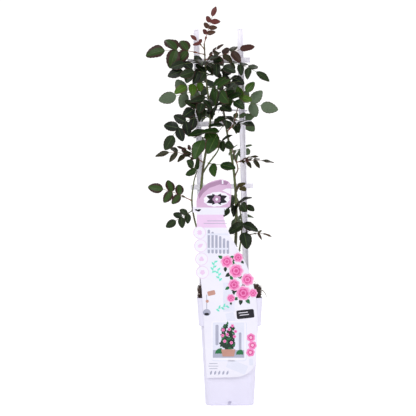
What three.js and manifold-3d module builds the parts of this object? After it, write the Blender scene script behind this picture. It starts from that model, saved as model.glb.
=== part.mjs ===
// A young climbing rose in a tall square pot, tied to a ladder trellis, with its label card.
// Millimetres, +Z up, the front towards -Y. The origin is the middle of the pot's underside.
import * as THREE from "three";
import { mergeVertices } from "three/addons/utils/BufferGeometryUtils.js";
import Module from "manifold-3d";

const wasm = await Module();
wasm.setup();

const GAP = 0.3; // left between neighbouring pieces
const UP = new THREE.Vector3(0, 0, 1);

// The pot, as half widths and heights from the foot up.
const POT = {
  wall: 1.6,
  floor: 3,
  foot: 47.9,
  footBevel: 1.5,
  bevelHeight: 2.5,
  waist: 56.2,
  waistHeight: 156.5,
  collar: 60.6,
  collarHeight: 158,
  rim: 63.8,
  rimHeight: 212,
  bodyCorner: 13,
  collarCorner: 9,
  cornerPoints: 5,
};
const NOTCH = {
  width: 6,
  height: 9,
  depth: 6,
  tabWidth: 15,
  tabHeight: 7,
  tabDepth: 0.8,
  tabFace: 48.3,
};
const SOIL = { top: 231, level: 40, shoulder: 58, lumps: 1.4, seed: 5 };
const CROWN = { foot: 15, neck: 10.5, knob: 15.5, height: 24 };

// The trellis leans to the left about the middle of its top rung.
const TRELLIS = {
  lean: THREE.MathUtils.degToRad(1.4),
  middle: -20.6,
  rungTop: 683.3,
  rungPitch: 126.7,
  rungs: 3,
  rungLength: 126,
  rungHeight: 10,
  rungDepth: 4,
  uprightSpread: 44.3,
  uprightWidth: 12,
  uprightDepth: 6,
  uprightFront: 16,
  above: 65,
  below: 510,
  groove: 6,
  grooveDepth: 2.2,
};
const RUNG_FRONT = TRELLIS.uprightFront - GAP - TRELLIS.rungDepth;

// The card leans on the collar and rises in front of the canes; its sizes are across and up.
const CARD = {
  thick: 1,
  lobeRadius: 12.6,
  lobes: 4,
  lobeFirst: [-58.8, 339.4],
  lobeStep: [1.85, -25.7],
  band: { left: -72, right: -10, low: 376, high: 388, tilt: 2.5 },
  bow: [[-54.5, 50], [-61, 158], [-64.2, 212], [-66.5, 300], [-60, 400], [-47, 452]], // back, up
  bowSteps: 12,
  reach: 100,
};

// The tie goes round the left cane and the right upright, and is knotted in front.
const TIE = {
  height: 583,
  radius: 0.8,
  steps: 28,
  knot: 2,
  knotAt: [-18, -6.8],
  route: [
    [-19, -6.4], [-30, -6], [-38, -6], [-41, -1], [-37, 3.6], [-8, 9.5],
    [24, 24.8], [33.4, 25.6], [36.2, 20], [33.4, 12.4], [10, -3], [-4, -6], [-17, -6.4],
  ],
};

// Each cane runs through a few places from its foot to its tip; radius is at both ends. A side
// cane starts from another cane, at a share of that one's length.
const CANES = {
  cane_left: {
    through: [[-6, 4, 246], [-52, 3, 375], [-54, 2, 452], [-38, -2, 559], [-46, 0, 643], [-50, 0, 715]],
    radius: [3.4, 1.3],
    colour: 0x5f7440,
  },
  cane_right: {
    through: [[7, 2, 246], [14, 0, 350], [10, 0, 452], [-6, -2, 547], [-20, 0, 635]],
    radius: [3.4, 1.5],
    colour: 0x66783f,
  },
  cane_fork: {
    from: ["cane_left", 0.41],
    through: [[-38, -6, 480], [-23, -8, 501], [-18, -9, 520]],
    radius: [1.8, 1.2],
    colour: 0x6d7d45,
  },
  cane_brown: {
    from: ["cane_right", 0.49],
    through: [[17, -6, 465], [13, -7, 483], [3, -9, 515]],
    radius: [1.4, 0.9],
    colour: 0x6b5138,
  },
  cane_young: {
    from: ["cane_right", 0.73],
    through: [[8, -7, 553], [13, -8, 572], [20, -8, 600]],
    radius: [1.4, 0.9],
    colour: 0x8a4a3c,
  },
  cane_low_left: {
    through: [[-9, -5, 245], [-58, -4, 330], [-74, -6, 391], [-71, -4, 437], [-65, -4, 459]],
    radius: [2.2, 1.0],
    colour: 0x6f7f4a,
  },
  cane_low_right: {
    through: [[5, -7, 245], [17, -11, 287], [25, -9, 351], [16, -9, 407]],
    radius: [2.2, 1.0],
    colour: 0x66783f,
  },
};
const CANE_STEPS = 40;
const ROOTED = ["cane_left", "cane_right", "cane_low_left", "cane_low_right"];

// Leafy shoots. Each leaves its cane at a share of the cane's length, on a bearing (0 is right,
// 90 is back, 180 is left, 270 is the front) and a rise in degrees. A shoot is a stem of that
// length with compound leaves; a leaf has pairs of leaflets on a stalk and one at its end, and
// turns its face to its light, a bearing and a rise. Lengths are in millimetres; petiole and
// wide are shares of a leaflet's length, and sag is how strongly stalks bend down.
const FRONT = 270;
const BACK = 90;
const SHOOTS = [
  {
    name: "foliage_tip", cane: "cane_left", share: 1, bearing: 8, rise: 74, stem: 3, leaves: 1,
    leaflet: 20, pairs: 3, light: [FRONT, 20], tint: "red", seed: 3, wide: 0.55, sag: 0, petiole: 0.9,
  },
  {
    name: "foliage_tip_small", cane: "cane_left", share: 0.97, bearing: 185, rise: 50, stem: 3,
    leaves: 1, leaflet: 15, pairs: 1, light: [FRONT, 30], tint: "red", seed: 5, wide: 0.5,
  },
  {
    name: "foliage_top_left", cane: "cane_left", share: 0.94, bearing: 180, rise: 16, stem: 6,
    leaves: 1, leaflet: 37, pairs: 2, light: [FRONT, 25], tint: "dark", seed: 7, sag: 0.6,
    wide: 0.72, petiole: 0.75,
  },
  {
    name: "foliage_top_right", cane: "cane_left", share: 0.91, bearing: 350, rise: 14, stem: 4,
    leaves: 1, leaflet: 28, pairs: 3, light: [285, 35], tint: "bronze", seed: 11, sag: 0.15,
    wide: 0.58,
  },
  {
    name: "foliage_upper_right", cane: "cane_left", share: 0.89, bearing: 352, rise: 6, stem: 6,
    leaves: 1, leaflet: 30, pairs: 3, light: [FRONT, 68], tint: "dark", seed: 13, petiole: 1.5,
    sag: 0.55, wide: 0.5,
  },
  {
    name: "foliage_upper_left", cane: "cane_left", share: 0.86, bearing: 195, rise: 0, stem: 4,
    leaves: 1, leaflet: 30, pairs: 2, light: [FRONT, 35], tint: "dark", seed: 18, petiole: 0.15,
    sag: 0.7,
  },
  {
    name: "foliage_crown_front", cane: "cane_left", share: 0.88, bearing: 262, rise: 12, stem: 9,
    leaves: 3, leaflet: 27, pairs: 2, light: [FRONT, 30], tint: "dark", seed: 21, sag: 0.9,
    petiole: 0.3,
  },
  {
    name: "foliage_upper_front", cane: "cane_left", share: 0.82, bearing: 305, rise: 15, stem: 14,
    leaves: 3, leaflet: 28, pairs: 2, light: [FRONT, 20], tint: "dark", seed: 14, sag: 1,
  },
  {
    name: "foliage_upper_centre", cane: "cane_left", share: 0.76, bearing: 292, rise: 5, stem: 12,
    leaves: 2, leaflet: 35, pairs: 2, light: [FRONT, 10], tint: "mid", seed: 19, sag: 1.3,
  },
  {
    name: "foliage_upper_bright", cane: "cane_left", share: 0.79, bearing: 205, rise: -5, stem: 5,
    leaves: 1, leaflet: 26, pairs: 2, light: [FRONT, 30], tint: "bright", seed: 20, sag: 0.8,
    petiole: 0.3,
  },
  {
    name: "foliage_pale_left", cane: "cane_left", share: 0.76, bearing: 178, rise: -14, stem: 10,
    leaves: 1, leaflet: 34, pairs: 2, light: [BACK, 20], tint: "pale", seed: 23, sag: 0.2,
    petiole: 0.3,
  },
  {
    name: "foliage_young", cane: "cane_young", share: 1, bearing: 350, rise: 55, stem: 3, leaves: 1,
    leaflet: 24, pairs: 1, light: [FRONT, 20], tint: "bright", seed: 44, petiole: 0.2,
  },
  {
    name: "foliage_pale_right", cane: "cane_right", share: 0.9, bearing: 10, rise: 2, stem: 8,
    leaves: 1, leaflet: 33, pairs: 2, light: [BACK, 5], tint: "pale", seed: 29, sag: 0.6,
    petiole: 0.9,
  },
  {
    name: "foliage_right_front", cane: "cane_right", share: 0.93, bearing: 310, rise: -10, stem: 3,
    leaves: 1, leaflet: 27, pairs: 2, light: [FRONT, 25], tint: "mid", seed: 30, sag: 0.7,
    petiole: 0.2,
  },
  {
    name: "foliage_middle_left", cane: "cane_left", share: 0.62, bearing: 184, rise: 8, stem: 8,
    leaves: 1, leaflet: 31, pairs: 3, light: [FRONT, 20], tint: "dark", seed: 31, sag: 2.1,
    petiole: 0.7,
  },
  {
    name: "foliage_middle_front", cane: "cane_left", share: 0.66, bearing: 235, rise: 5, stem: 12,
    leaves: 2, leaflet: 30, pairs: 2, light: [FRONT, 30], tint: "dark", seed: 33, sag: 0.9,
    petiole: 0.3,
  },
  {
    name: "foliage_crown_middle", cane: "cane_right", share: 0.985, bearing: 285, rise: 10,
    stem: 12, leaves: 3, leaflet: 27, pairs: 2, light: [FRONT, 25], tint: "dark", seed: 34,
    sag: 0.9, petiole: 0.3,
  },
  {
    name: "foliage_centre_right", cane: "cane_young", share: 0.3, bearing: 320, rise: 10, stem: 3,
    leaves: 1, leaflet: 25, pairs: 1, light: [FRONT, 35], tint: "dark", seed: 42, sag: 0.7,
    petiole: 0.2,
  },
  {
    name: "foliage_inner_right", cane: "cane_right", share: 0.82, bearing: 270, rise: -5,
    stem: 10, leaves: 2, leaflet: 28, pairs: 2, light: [FRONT, 20], tint: "dark", seed: 35,
    sag: 0.9, petiole: 0.3,
  },
  {
    name: "foliage_inner_left", cane: "cane_left", share: 0.72, bearing: 255, rise: -12, stem: 8,
    leaves: 1, leaflet: 28, pairs: 2, light: [FRONT, 25], tint: "dark", seed: 36, sag: 0.9,
    petiole: 0.3,
  },
  {
    name: "foliage_centre_fork", cane: "cane_fork", share: 1, bearing: 300, rise: -10, stem: 3,
    leaves: 1, leaflet: 23, pairs: 1, light: [FRONT, 10], tint: "dark", seed: 40, sag: 1.2,
    petiole: 0.2,
  },
  {
    name: "foliage_centre_big", cane: "cane_right", share: 0.78, bearing: 240, rise: -35, stem: 3,
    leaves: 1, leaflet: 36, pairs: 2, light: [FRONT, 5], tint: "mid", seed: 37, sag: 0.2,
    petiole: 0.15,
  },
  {
    name: "foliage_centre_droop", cane: "cane_left", share: 0.58, bearing: 238, rise: -45, stem: 4,
    leaves: 1, leaflet: 40, pairs: 1, light: [FRONT, 10], tint: "mid", seed: 41, sag: 0.4,
    petiole: 0.15,
  },
  {
    name: "foliage_left_twig", cane: "cane_left", share: 0.45, bearing: 182, rise: 34, stem: 22,
    leaves: 1, leaflet: 27, pairs: 2, light: [FRONT, 50], tint: "bronze", seed: 43, petiole: 0.6,
    wide: 0.42, sag: 1.6,
  },
  {
    name: "foliage_right_narrow", cane: "cane_brown", share: 0.6, bearing: 352, rise: 8, stem: 6,
    leaves: 1, leaflet: 24, pairs: 2, light: [FRONT, 60], tint: "bronze", seed: 47, wide: 0.4,
  },
  {
    name: "foliage_lower_centre", cane: "cane_fork", share: 0.25, bearing: 330, rise: -5, stem: 3,
    leaves: 1, leaflet: 30, pairs: 1, light: [FRONT, 30], tint: "mid", seed: 53, petiole: 0.1,
  },
  {
    name: "foliage_lower_fold", cane: "cane_low_left", share: 1, bearing: 250, rise: 30, stem: 3,
    leaves: 1, leaflet: 24, pairs: 1, light: [FRONT, 10], tint: "mid", seed: 59, sag: 1,
    petiole: 0.2,
  },
  {
    name: "foliage_curled", cane: "cane_right", share: 0.45, bearing: 300, rise: -10, stem: 3,
    leaves: 1, leaflet: 18, pairs: 1, light: [FRONT, 20], tint: "brown", seed: 61, petiole: 0.2,
  },
  {
    name: "foliage_low_left", cane: "cane_low_left", share: 0.55, bearing: 180, rise: 28, stem: 8,
    leaves: 1, leaflet: 29, pairs: 2, light: [FRONT, 30], tint: "dark", seed: 67,
  },
  {
    name: "foliage_low_left_small", cane: "cane_low_left", share: 0.46, bearing: 186, rise: -30,
    stem: 5, leaves: 1, leaflet: 22, pairs: 2, light: [FRONT, 20], tint: "dark", seed: 71,
    petiole: 0.25,
  },
  {
    name: "foliage_low_right_tip", cane: "cane_low_right", share: 0.97, bearing: 285, rise: -12,
    stem: 3, leaves: 1, leaflet: 28, pairs: 1, light: [FRONT, 10], tint: "dark", seed: 73, sag: 0.7,
    petiole: 0.15,
  },
  {
    name: "foliage_low_centre", cane: "cane_right", share: 0.37, bearing: 235, rise: -20, stem: 3,
    leaves: 1, leaflet: 26, pairs: 1, light: [FRONT, 5], tint: "dark", seed: 75, sag: 0.8,
    petiole: 0.3,
  },
  {
    name: "foliage_low_right", cane: "cane_low_right", share: 0.76, bearing: 280, rise: -48,
    stem: 3, leaves: 1, leaflet: 35, pairs: 1, light: [FRONT, 5], tint: "dark", seed: 79, sag: 0.3,
    petiole: 0.3,
  },
  {
    name: "foliage_right_twig", cane: "cane_low_right", share: 0.57, bearing: 352, rise: 14,
    stem: 16, leaves: 1, leaflet: 17, pairs: 1, light: [FRONT, 65], tint: "brown", seed: 90,
    sag: 0.9, petiole: 0.9, wide: 0.3,
  },
  {
    name: "foliage_back_top", cane: "cane_left", share: 0.88, bearing: 75, rise: 12, stem: 10,
    leaves: 2, leaflet: 32, pairs: 1, light: [BACK, 40], tint: "dark", seed: 80, sag: 0.6,
  },
  {
    name: "foliage_back_upper", cane: "cane_right", share: 0.96, bearing: 60, rise: 20, stem: 14,
    leaves: 2, leaflet: 36, pairs: 1, light: [BACK, 30], tint: "dark", seed: 81, sag: 0.7,
  },
  {
    name: "foliage_back_left", cane: "cane_left", share: 0.7, bearing: 98, rise: -8, stem: 30,
    leaves: 1, leaflet: 30, pairs: 2, light: [BACK, 30], tint: "dark", seed: 82, sag: 0.6,
  },
  {
    name: "foliage_back_right", cane: "cane_right", share: 0.8, bearing: 50, rise: 5, stem: 14,
    leaves: 1, leaflet: 31, pairs: 2, light: [BACK, 30], tint: "mid", seed: 83, sag: 0.6,
  },
  {
    name: "foliage_back_middle", cane: "cane_left", share: 0.53, bearing: 95, rise: 12, stem: 30,
    leaves: 2, leaflet: 31, pairs: 2, light: [BACK, 25], tint: "dark", seed: 84, sag: 0.6,
  },
  {
    name: "foliage_back_centre", cane: "cane_right", share: 0.62, bearing: 70, rise: 10, stem: 12,
    leaves: 1, leaflet: 30, pairs: 2, light: [BACK, 30], tint: "mid", seed: 85, sag: 0.6,
  },
  {
    name: "foliage_back_low_left", cane: "cane_left", share: 0.27, bearing: 65, rise: 5, stem: 20,
    leaves: 1, leaflet: 32, pairs: 1, light: [BACK, 30], tint: "dark", seed: 86, sag: 0.6,
  },
  {
    name: "foliage_back_low", cane: "cane_right", share: 0.4, bearing: 100, rise: 0, stem: 12,
    leaves: 1, leaflet: 28, pairs: 2, light: [BACK, 30], tint: "dark", seed: 87, sag: 0.6,
  },
  {
    name: "foliage_back_low_right", cane: "cane_right", share: 0.3, bearing: 80, rise: 0,
    stem: 12, leaves: 1, leaflet: 28, pairs: 2, light: [BACK, 30], tint: "mid", seed: 88, sag: 0.6,
  },
];
const USUAL = { petiole: 0.55, sag: 0.35, wide: 0.66 };
const TINTS = {
  dark: 0x2c3a22,
  mid: 0x3d5a2a,
  bright: 0x557a2e,
  bronze: 0x54382a,
  red: 0x7c4038,
  pale: 0x6c7c62,
  brown: 0x5c4634,
};

// How every shoot grows. Turns and their swings are in degrees.
const GROW = {
  stemRadius: [1.1, 0.8],
  stalkRadius: [0.8, 0.5],
  sunk: 0.8, // how far stalks and leaflets start inside what carries them
  stemSteps: 4,
  stalkSteps: 4,
  stemSag: 0.12,
  stalkSag: 0.3,
  stalkBend: 0.5,
  bendSwing: 0.18,
  faceSwing: 16,
  sideTurn: 70,
  sideSwing: 12,
  sideRise: 0.25,
  pairSpacing: 0.62,
  firstPair: 0.78, // the lowest pair's size beside the highest one's
  sizeSwing: 0.07,
  splay: 64,
  splaySwing: 9,
  droop: 0.12,
  droopSwing: 0.18,
  turnSwing: 18,
  endSize: 1.08,
  endDroop: 0.1,
  endTurn: 14,
  limbRoom: 1.8,
  trellisRoom: 1.5,
  massRoom: 4,
};

// A leaflet's form: how it swells and folds, and the places along and across it that are tested.
const LEAFLET = {
  thick: 1.2,
  swell: 0.8,
  fullness: 0.75,
  fold: 0.2,
  curl: 0.1,
  rows: [0.12, 0.27, 0.42, 0.57, 0.72, 0.86, 1],
  sides: [-1, -0.5, 0, 0.5, 1],
  edge: [0.16, 0.45, 0.78],
  middle: 0.47,
};

// Geometry helpers.

const vec = (list) => new THREE.Vector3(...list);
const radians = THREE.MathUtils.degToRad;

function heading([bearing, rise]) {
  const b = radians(bearing);
  const r = radians(rise);
  return new THREE.Vector3(Math.cos(b) * Math.cos(r), Math.sin(b) * Math.cos(r), Math.sin(r));
}

// The part of a direction that is square to another one.
function squareTo(direction, axis) {
  return direction.clone().addScaledVector(axis, -direction.dot(axis)).normalize();
}

const turned = (direction, axis, angle) => direction.clone().applyAxisAngle(axis, angle);

// Numbers that look random and are always the same for one seed.
class Seeded {
  constructor(seed) {
    this.state = (seed * 7919) % 4294967296;
  }
  next() {
    this.state = (this.state * 1664525 + 1013904223) % 4294967296;
    return this.state / 4294967296;
  }
  swing(size) {
    return (2 * this.next() - 1) * size;
  }
}

function curveThrough(points) {
  return new THREE.CatmullRomCurve3(points, false, "catmullrom", 0.5);
}

// Where a stem of a radius starts, clear of the limb that carries it, when it goes off one way.
function startOff({ curve, radius }, share, way, stem) {
  const ahead = curve.getPoint(Math.min(1, share + 0.01));
  const along = ahead.sub(curve.getPoint(share - 0.01)).normalize();
  const lean = along.dot(way);
  const across = Math.sqrt(1 - lean * lean);
  const width = THREE.MathUtils.lerp(radius[0], radius[1], share);
  const start = curve.getPoint(share);
  if (share === 1) return start.addScaledVector(along, GAP + 0.1 + stem * across);
  return start.addScaledVector(way, (width + GAP + 0.1 + stem * Math.abs(lean)) / across);
}

// A closed solid from a geometry, and back.
function solid(geometry) {
  const bare = geometry.clone();
  bare.deleteAttribute("normal");
  bare.deleteAttribute("uv");
  const merged = mergeVertices(bare, 1e-4);
  return new wasm.Manifold(
    new wasm.Mesh({
      numProp: 3,
      vertProperties: new Float32Array(merged.attributes.position.array),
      triVerts: new Uint32Array(merged.index.array),
    }),
  );
}

function geometryOf(made) {
  const { vertProperties, triVerts, numProp, numVert } = made.getMesh();
  const positions = new Float32Array(numVert * 3);
  for (let i = 0; i < numVert; i++) {
    positions.set(vertProperties.subarray(i * numProp, i * numProp + 3), i * 3);
  }
  return new THREE.BufferGeometry()
    .setAttribute("position", new THREE.BufferAttribute(positions, 3))
    .setIndex(new THREE.BufferAttribute(triVerts, 1))
    .toNonIndexed();
}

// A cylinder bent along a curve, with its radius going from one end's to the other's.
function limb(curve, steps, [fromRadius, toRadius], sides) {
  const geometry = new THREE.CylinderGeometry(toRadius, fromRadius, 1, sides, steps);
  const { normals, binormals } = curve.computeFrenetFrames(steps);
  const at = [];
  for (let i = 0; i <= steps; i++) at.push(curve.getPoint(i / steps));
  const place = geometry.attributes.position;
  for (let i = 0; i < place.count; i++) {
    const ring = Math.round((place.getY(i) + 0.5) * steps);
    const point = at[ring].clone();
    point.addScaledVector(normals[ring], place.getX(i));
    point.addScaledVector(binormals[ring], -place.getZ(i));
    place.setXYZ(i, point.x, point.y, point.z);
  }
  return geometry;
}

// A point on a square with rounded corners, at a step of its way round.
function squarePoint(step, half, corner) {
  const quarter = Math.floor(step / POT.cornerPoints) % 4;
  const share = (step % POT.cornerPoints) / (POT.cornerPoints - 1);
  const angle = ((quarter - 1 + share) * Math.PI) / 2;
  const middle = half - corner;
  const sideX = quarter === 0 || quarter === 1 ? 1 : -1;
  const sideY = quarter === 1 || quarter === 2 ? 1 : -1;
  return [sideX * middle + corner * Math.cos(angle), sideY * middle + corner * Math.sin(angle)];
}

// A lathe whose rounds are rounded squares: the profile holds half width, height and corner.
function squareLathe(profile) {
  const columns = 4 * POT.cornerPoints;
  const turnedPoints = profile.map(([half, height]) => new THREE.Vector2(half, height));
  const geometry = new THREE.LatheGeometry(turnedPoints, columns);
  const place = geometry.attributes.position;
  for (let i = 0; i < place.count; i++) {
    const [half, height, corner] = profile[i % profile.length];
    const step = Math.floor(i / profile.length);
    const [x, y] = half ? squarePoint(step, half, corner) : [0, 0];
    place.setXYZ(i, x, y, height);
  }
  return geometry;
}

// A box from its middle and its sizes.
function block(middle, sizes) {
  return new THREE.BoxGeometry(...sizes).translate(...middle);
}

// An extruded outline, stood up: its x goes across and its y goes up, and its depth comes forward.
function frontal(shape, depth) {
  const across = new THREE.Matrix4().makeBasis(
    new THREE.Vector3(1, 0, 0),
    new THREE.Vector3(0, 0, 1),
    new THREE.Vector3(0, -1, 0),
  );
  return new THREE.ExtrudeGeometry(shape, { depth, bevelEnabled: false, curveSegments: 8 })
    .applyMatrix4(across);
}

function ringShape(x, y, radius, sides) {
  const shape = new THREE.Shape();
  for (let i = 0; i < sides; i++) {
    const angle = (2 * Math.PI * i) / sides;
    const point = [x + radius * Math.cos(angle), y + radius * Math.sin(angle)];
    if (i) shape.lineTo(...point);
    else shape.moveTo(...point);
  }
  return shape;
}

// The pot and its soil.

// Half widths and heights up the outside, moved in by a distance and up by another.
function wallLine(inward, lift) {
  return [
    [POT.waist - inward, POT.waistHeight + lift, POT.bodyCorner - inward],
    [POT.collar - inward, POT.collarHeight + lift, POT.collarCorner - inward],
  ];
}

function potSolid() {
  const inside = POT.wall;
  const outline = [
    [0, 0, 0],
    [POT.foot - POT.footBevel, 0, POT.bodyCorner - POT.footBevel],
    [POT.foot, POT.bevelHeight, POT.bodyCorner],
    ...wallLine(0, 0),
    [POT.rim, POT.rimHeight, POT.collarCorner],
    [POT.rim - inside, POT.rimHeight, POT.collarCorner - inside],
    ...wallLine(inside, inside).reverse(),
    [POT.foot - inside, POT.floor, POT.bodyCorner - inside],
    [0, POT.floor, 0],
  ];
  let made = solid(squareLathe(outline));
  for (let side = 0; side < 4; side++) {
    const notch = block([0, -POT.foot, 0], [NOTCH.width, NOTCH.depth, 2 * NOTCH.height]);
    const tab = block(
      [-(NOTCH.width + NOTCH.tabWidth) / 2, -NOTCH.tabFace, 0],
      [NOTCH.tabWidth, 2 * NOTCH.tabDepth, 2 * NOTCH.tabHeight],
    );
    for (const cutter of [notch, tab]) {
      made = made.subtract(solid(cutter.rotateZ((side * Math.PI) / 2)));
    }
  }
  return made;
}

function soilSolid() {
  const inside = POT.wall + GAP;
  const corner = POT.collarCorner - inside;
  const rimLevel = POT.rimHeight + 1;
  const outline = [
    [0, POT.floor + GAP, 0],
    [POT.foot - inside, POT.floor + GAP, POT.bodyCorner - inside],
    ...wallLine(inside, POT.wall + 2 * GAP),
    [POT.rim - inside, rimLevel, corner],
    [POT.rim - inside, (rimLevel + SOIL.top) / 2, corner],
    [SOIL.shoulder, SOIL.top - 1.5, corner],
    [SOIL.level, SOIL.top, corner],
    [0, SOIL.top, 0],
  ];
  const geometry = squareLathe(outline);
  const place = geometry.attributes.position;
  const rand = new Seeded(SOIL.seed);
  const columns = 4 * POT.cornerPoints;
  const lumps = outline.map(() => Array.from({ length: columns }, () => rand.swing(SOIL.lumps)));
  for (let i = 0; i < place.count; i++) {
    const ring = i % outline.length;
    if (outline[ring][1] <= rimLevel || outline[ring][0] <= SOIL.level) continue;
    const lump = lumps[ring][Math.floor(i / outline.length) % columns];
    place.setXYZ(i, place.getX(i) - lump, place.getY(i) + lump, place.getZ(i) + lump / 2);
  }
  const uprightRoom = uprightShape(GAP + 0.1);
  let made = solid(geometry);
  for (const side of [-1, 1]) {
    const pocket = uprightGeometry(uprightRoom, side, GAP).applyMatrix4(trellisMatrix());
    made = made.subtract(solid(pocket));
  }
  return made;
}

// The rose's foot: a flared, knobbly stem on the soil, with a socket for each cane.
function crownSolid() {
  const foot = SOIL.top + GAP;
  const { height } = CROWN;
  const profile = [
    [0, 0],
    [CROWN.foot, 0],
    [CROWN.foot * 0.88, height * 0.1],
    [CROWN.neck, height * 0.3],
    [CROWN.neck * 1.1, height * 0.45],
    [CROWN.knob, height * 0.66],
    [CROWN.knob * 0.9, height * 0.86],
    [CROWN.knob * 0.5, height],
    [0, height],
  ].map(([radius, up]) => new THREE.Vector2(radius, up));
  let made = solid(
    new THREE.LatheGeometry(profile, 14).rotateX(Math.PI / 2).translate(0, -1, foot),
  );
  for (const name of ROOTED) {
    const { curve, radius } = limbs[name];
    const start = curve.getPoint(0);
    const early = curve.getPoint(0.12);
    const back = start.clone().sub(early).setLength(GAP);
    const socket = new THREE.LineCurve3(start.clone().add(back), early);
    const room = limb(socket, 1, [radius[0] + GAP + 0.3, radius[0] + GAP + 1.6], 8);
    made = made.subtract(solid(room));
  }
  return made;
}

// The trellis, in its own frame: the middle of its top rung is at the origin.

function trellisMatrix() {
  const place = new THREE.Matrix4().makeTranslation(TRELLIS.middle, 0, TRELLIS.rungTop);
  return place.multiply(new THREE.Matrix4().makeRotationY(-TRELLIS.lean));
}

function uprightShape(room) {
  const half = TRELLIS.uprightWidth / 2 + room;
  const front = TRELLIS.uprightFront - room;
  const back = TRELLIS.uprightFront + TRELLIS.uprightDepth + room;
  const shape = new THREE.Shape();
  shape.moveTo(-half, front);
  if (!room) {
    shape.lineTo(-TRELLIS.groove / 2, front);
    shape.lineTo(-TRELLIS.groove / 2, front + TRELLIS.grooveDepth);
    shape.lineTo(TRELLIS.groove / 2, front + TRELLIS.grooveDepth);
    shape.lineTo(TRELLIS.groove / 2, front);
  }
  shape.lineTo(half, front);
  shape.lineTo(half, back);
  shape.lineTo(-half, back);
  return shape;
}

function uprightGeometry(shape, side, room) {
  const depth = TRELLIS.above + TRELLIS.below + 2 * room;
  return new THREE.ExtrudeGeometry(shape, { depth, bevelEnabled: false })
    .translate(side * TRELLIS.uprightSpread, 0, -TRELLIS.below - room);
}

function rungGeometry() {
  const [half, high, round] = [TRELLIS.rungLength / 2, TRELLIS.rungHeight / 2, 1.2];
  const shape = new THREE.Shape();
  shape.moveTo(-half + round, -high);
  shape.lineTo(half - round, -high);
  shape.lineTo(half, -high + round);
  shape.lineTo(half, high - round);
  shape.lineTo(half - round, high);
  shape.lineTo(-half + round, high);
  shape.lineTo(-half, high - round);
  shape.lineTo(-half, -high + round);
  return frontal(shape, TRELLIS.rungDepth).translate(0, RUNG_FRONT + TRELLIS.rungDepth, 0);
}

const toTrellis = trellisMatrix().invert();
const trellisBoxes = [];
for (const side of [-1, 1]) {
  trellisBoxes.push({
    middle: [
      side * TRELLIS.uprightSpread,
      TRELLIS.uprightFront + TRELLIS.uprightDepth / 2,
      (TRELLIS.above - TRELLIS.below) / 2,
    ],
    half: [
      TRELLIS.uprightWidth / 2,
      TRELLIS.uprightDepth / 2,
      (TRELLIS.above + TRELLIS.below) / 2,
    ],
  });
}
for (let i = 0; i < TRELLIS.rungs; i++) {
  trellisBoxes.push({
    middle: [0, RUNG_FRONT + TRELLIS.rungDepth / 2, -i * TRELLIS.rungPitch],
    half: [TRELLIS.rungLength / 2, TRELLIS.rungDepth / 2, TRELLIS.rungHeight / 2],
  });
}

// The tie.

const tieCurve = curveThrough(TIE.route.map((place) => vec([...place, TIE.height])));

function tieSolid() {
  const loop = solid(limb(tieCurve, TIE.steps, [TIE.radius, TIE.radius], 4));
  const knot = new THREE.SphereGeometry(TIE.knot, 7, 5).translate(...TIE.knotAt, TIE.height);
  return loop.add(solid(knot));
}

// The label card.

function cardShape() {
  const shape = new THREE.Shape();
  shape.moveTo(-44.8, 56);
  shape.lineTo(10, 57);
  shape.quadraticCurveTo(46, 60, 52, 92);
  shape.lineTo(53.7, 160);
  shape.bezierCurveTo(56, 215, 42, 262, 20, 300);
  shape.bezierCurveTo(6, 324, -8, 346, -13, 374);
  shape.quadraticCurveTo(-12, 384, 0, 390);
  shape.quadraticCurveTo(3, 400, 3, 428);
  shape.quadraticCurveTo(2, 442, -18, 443);
  shape.bezierCurveTo(-46, 440, -62, 424, -65, 400);
  shape.lineTo(-64, 344);
  shape.lineTo(-54.4, 226);
  return shape;
}

// A sheet as thick as the card, bowed forward as the card is, and wider than it.
function cardSlab() {
  const bow = new THREE.SplineCurve(CARD.bow.map(([y, z]) => new THREE.Vector2(y, z)));
  const back = bow.getPoints(CARD.bowSteps);
  const shape = new THREE.Shape();
  back.forEach(({ x, y }, i) => (i ? shape.lineTo(x, y) : shape.moveTo(x, y)));
  back.reverse().forEach(({ x, y }) => shape.lineTo(x - CARD.thick, y));
  const sideways = new THREE.Matrix4().makeBasis(
    new THREE.Vector3(0, 1, 0),
    new THREE.Vector3(0, 0, 1),
    new THREE.Vector3(1, 0, 0),
  );
  return new THREE.ExtrudeGeometry(shape, { depth: 2 * CARD.reach, bevelEnabled: false })
    .applyMatrix4(sideways)
    .translate(-CARD.reach, 0, 0);
}

function cardSolid() {
  const outlines = [cardShape()];
  const [firstX, firstZ] = CARD.lobeFirst;
  const [stepX, stepZ] = CARD.lobeStep;
  for (let i = 0; i < CARD.lobes; i++) {
    outlines.push(ringShape(firstX + i * stepX, firstZ + i * stepZ, CARD.lobeRadius, 16));
  }
  const { left, right, low, high, tilt } = CARD.band;
  const band = new THREE.Shape();
  band.moveTo(left, low + tilt);
  band.lineTo(right, low - tilt);
  band.lineTo(right, high - tilt);
  band.lineTo(left, high + tilt);
  outlines.push(band);
  const prisms = outlines.map((shape) => solid(frontal(shape, CARD.reach)));
  const outline = prisms.reduce((all, one) => all.add(one));
  return outline.intersect(solid(cardSlab()));
}

// Canes.

const limbs = {};
const limbLines = [];
for (const [name, { from, through, radius, colour }] of Object.entries(CANES)) {
  const places = through.map(vec);
  if (from) {
    const [carrier, share] = from;
    const way = places[0].clone().sub(limbs[carrier].curve.getPoint(share)).normalize();
    places.unshift(startOff(limbs[carrier], share, way, radius[0]));
  }
  const curve = curveThrough(places);
  limbs[name] = { curve, radius, colour };
  for (let i = 0; i < CANE_STEPS; i++) {
    const share = i / CANE_STEPS;
    const width = THREE.MathUtils.lerp(radius[0], radius[1], share);
    const [from, to] = [curve.getPoint(share), curve.getPoint((i + 1) / CANE_STEPS)];
    limbLines.push({ line: new THREE.Line3(from, to), radius: width });
  }
}
const tiePoints = tieCurve.getPoints(CANE_STEPS);
for (let i = 0; i < CANE_STEPS; i++) {
  limbLines.push({ line: new THREE.Line3(tiePoints[i], tiePoints[i + 1]), radius: TIE.knot });
}

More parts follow.
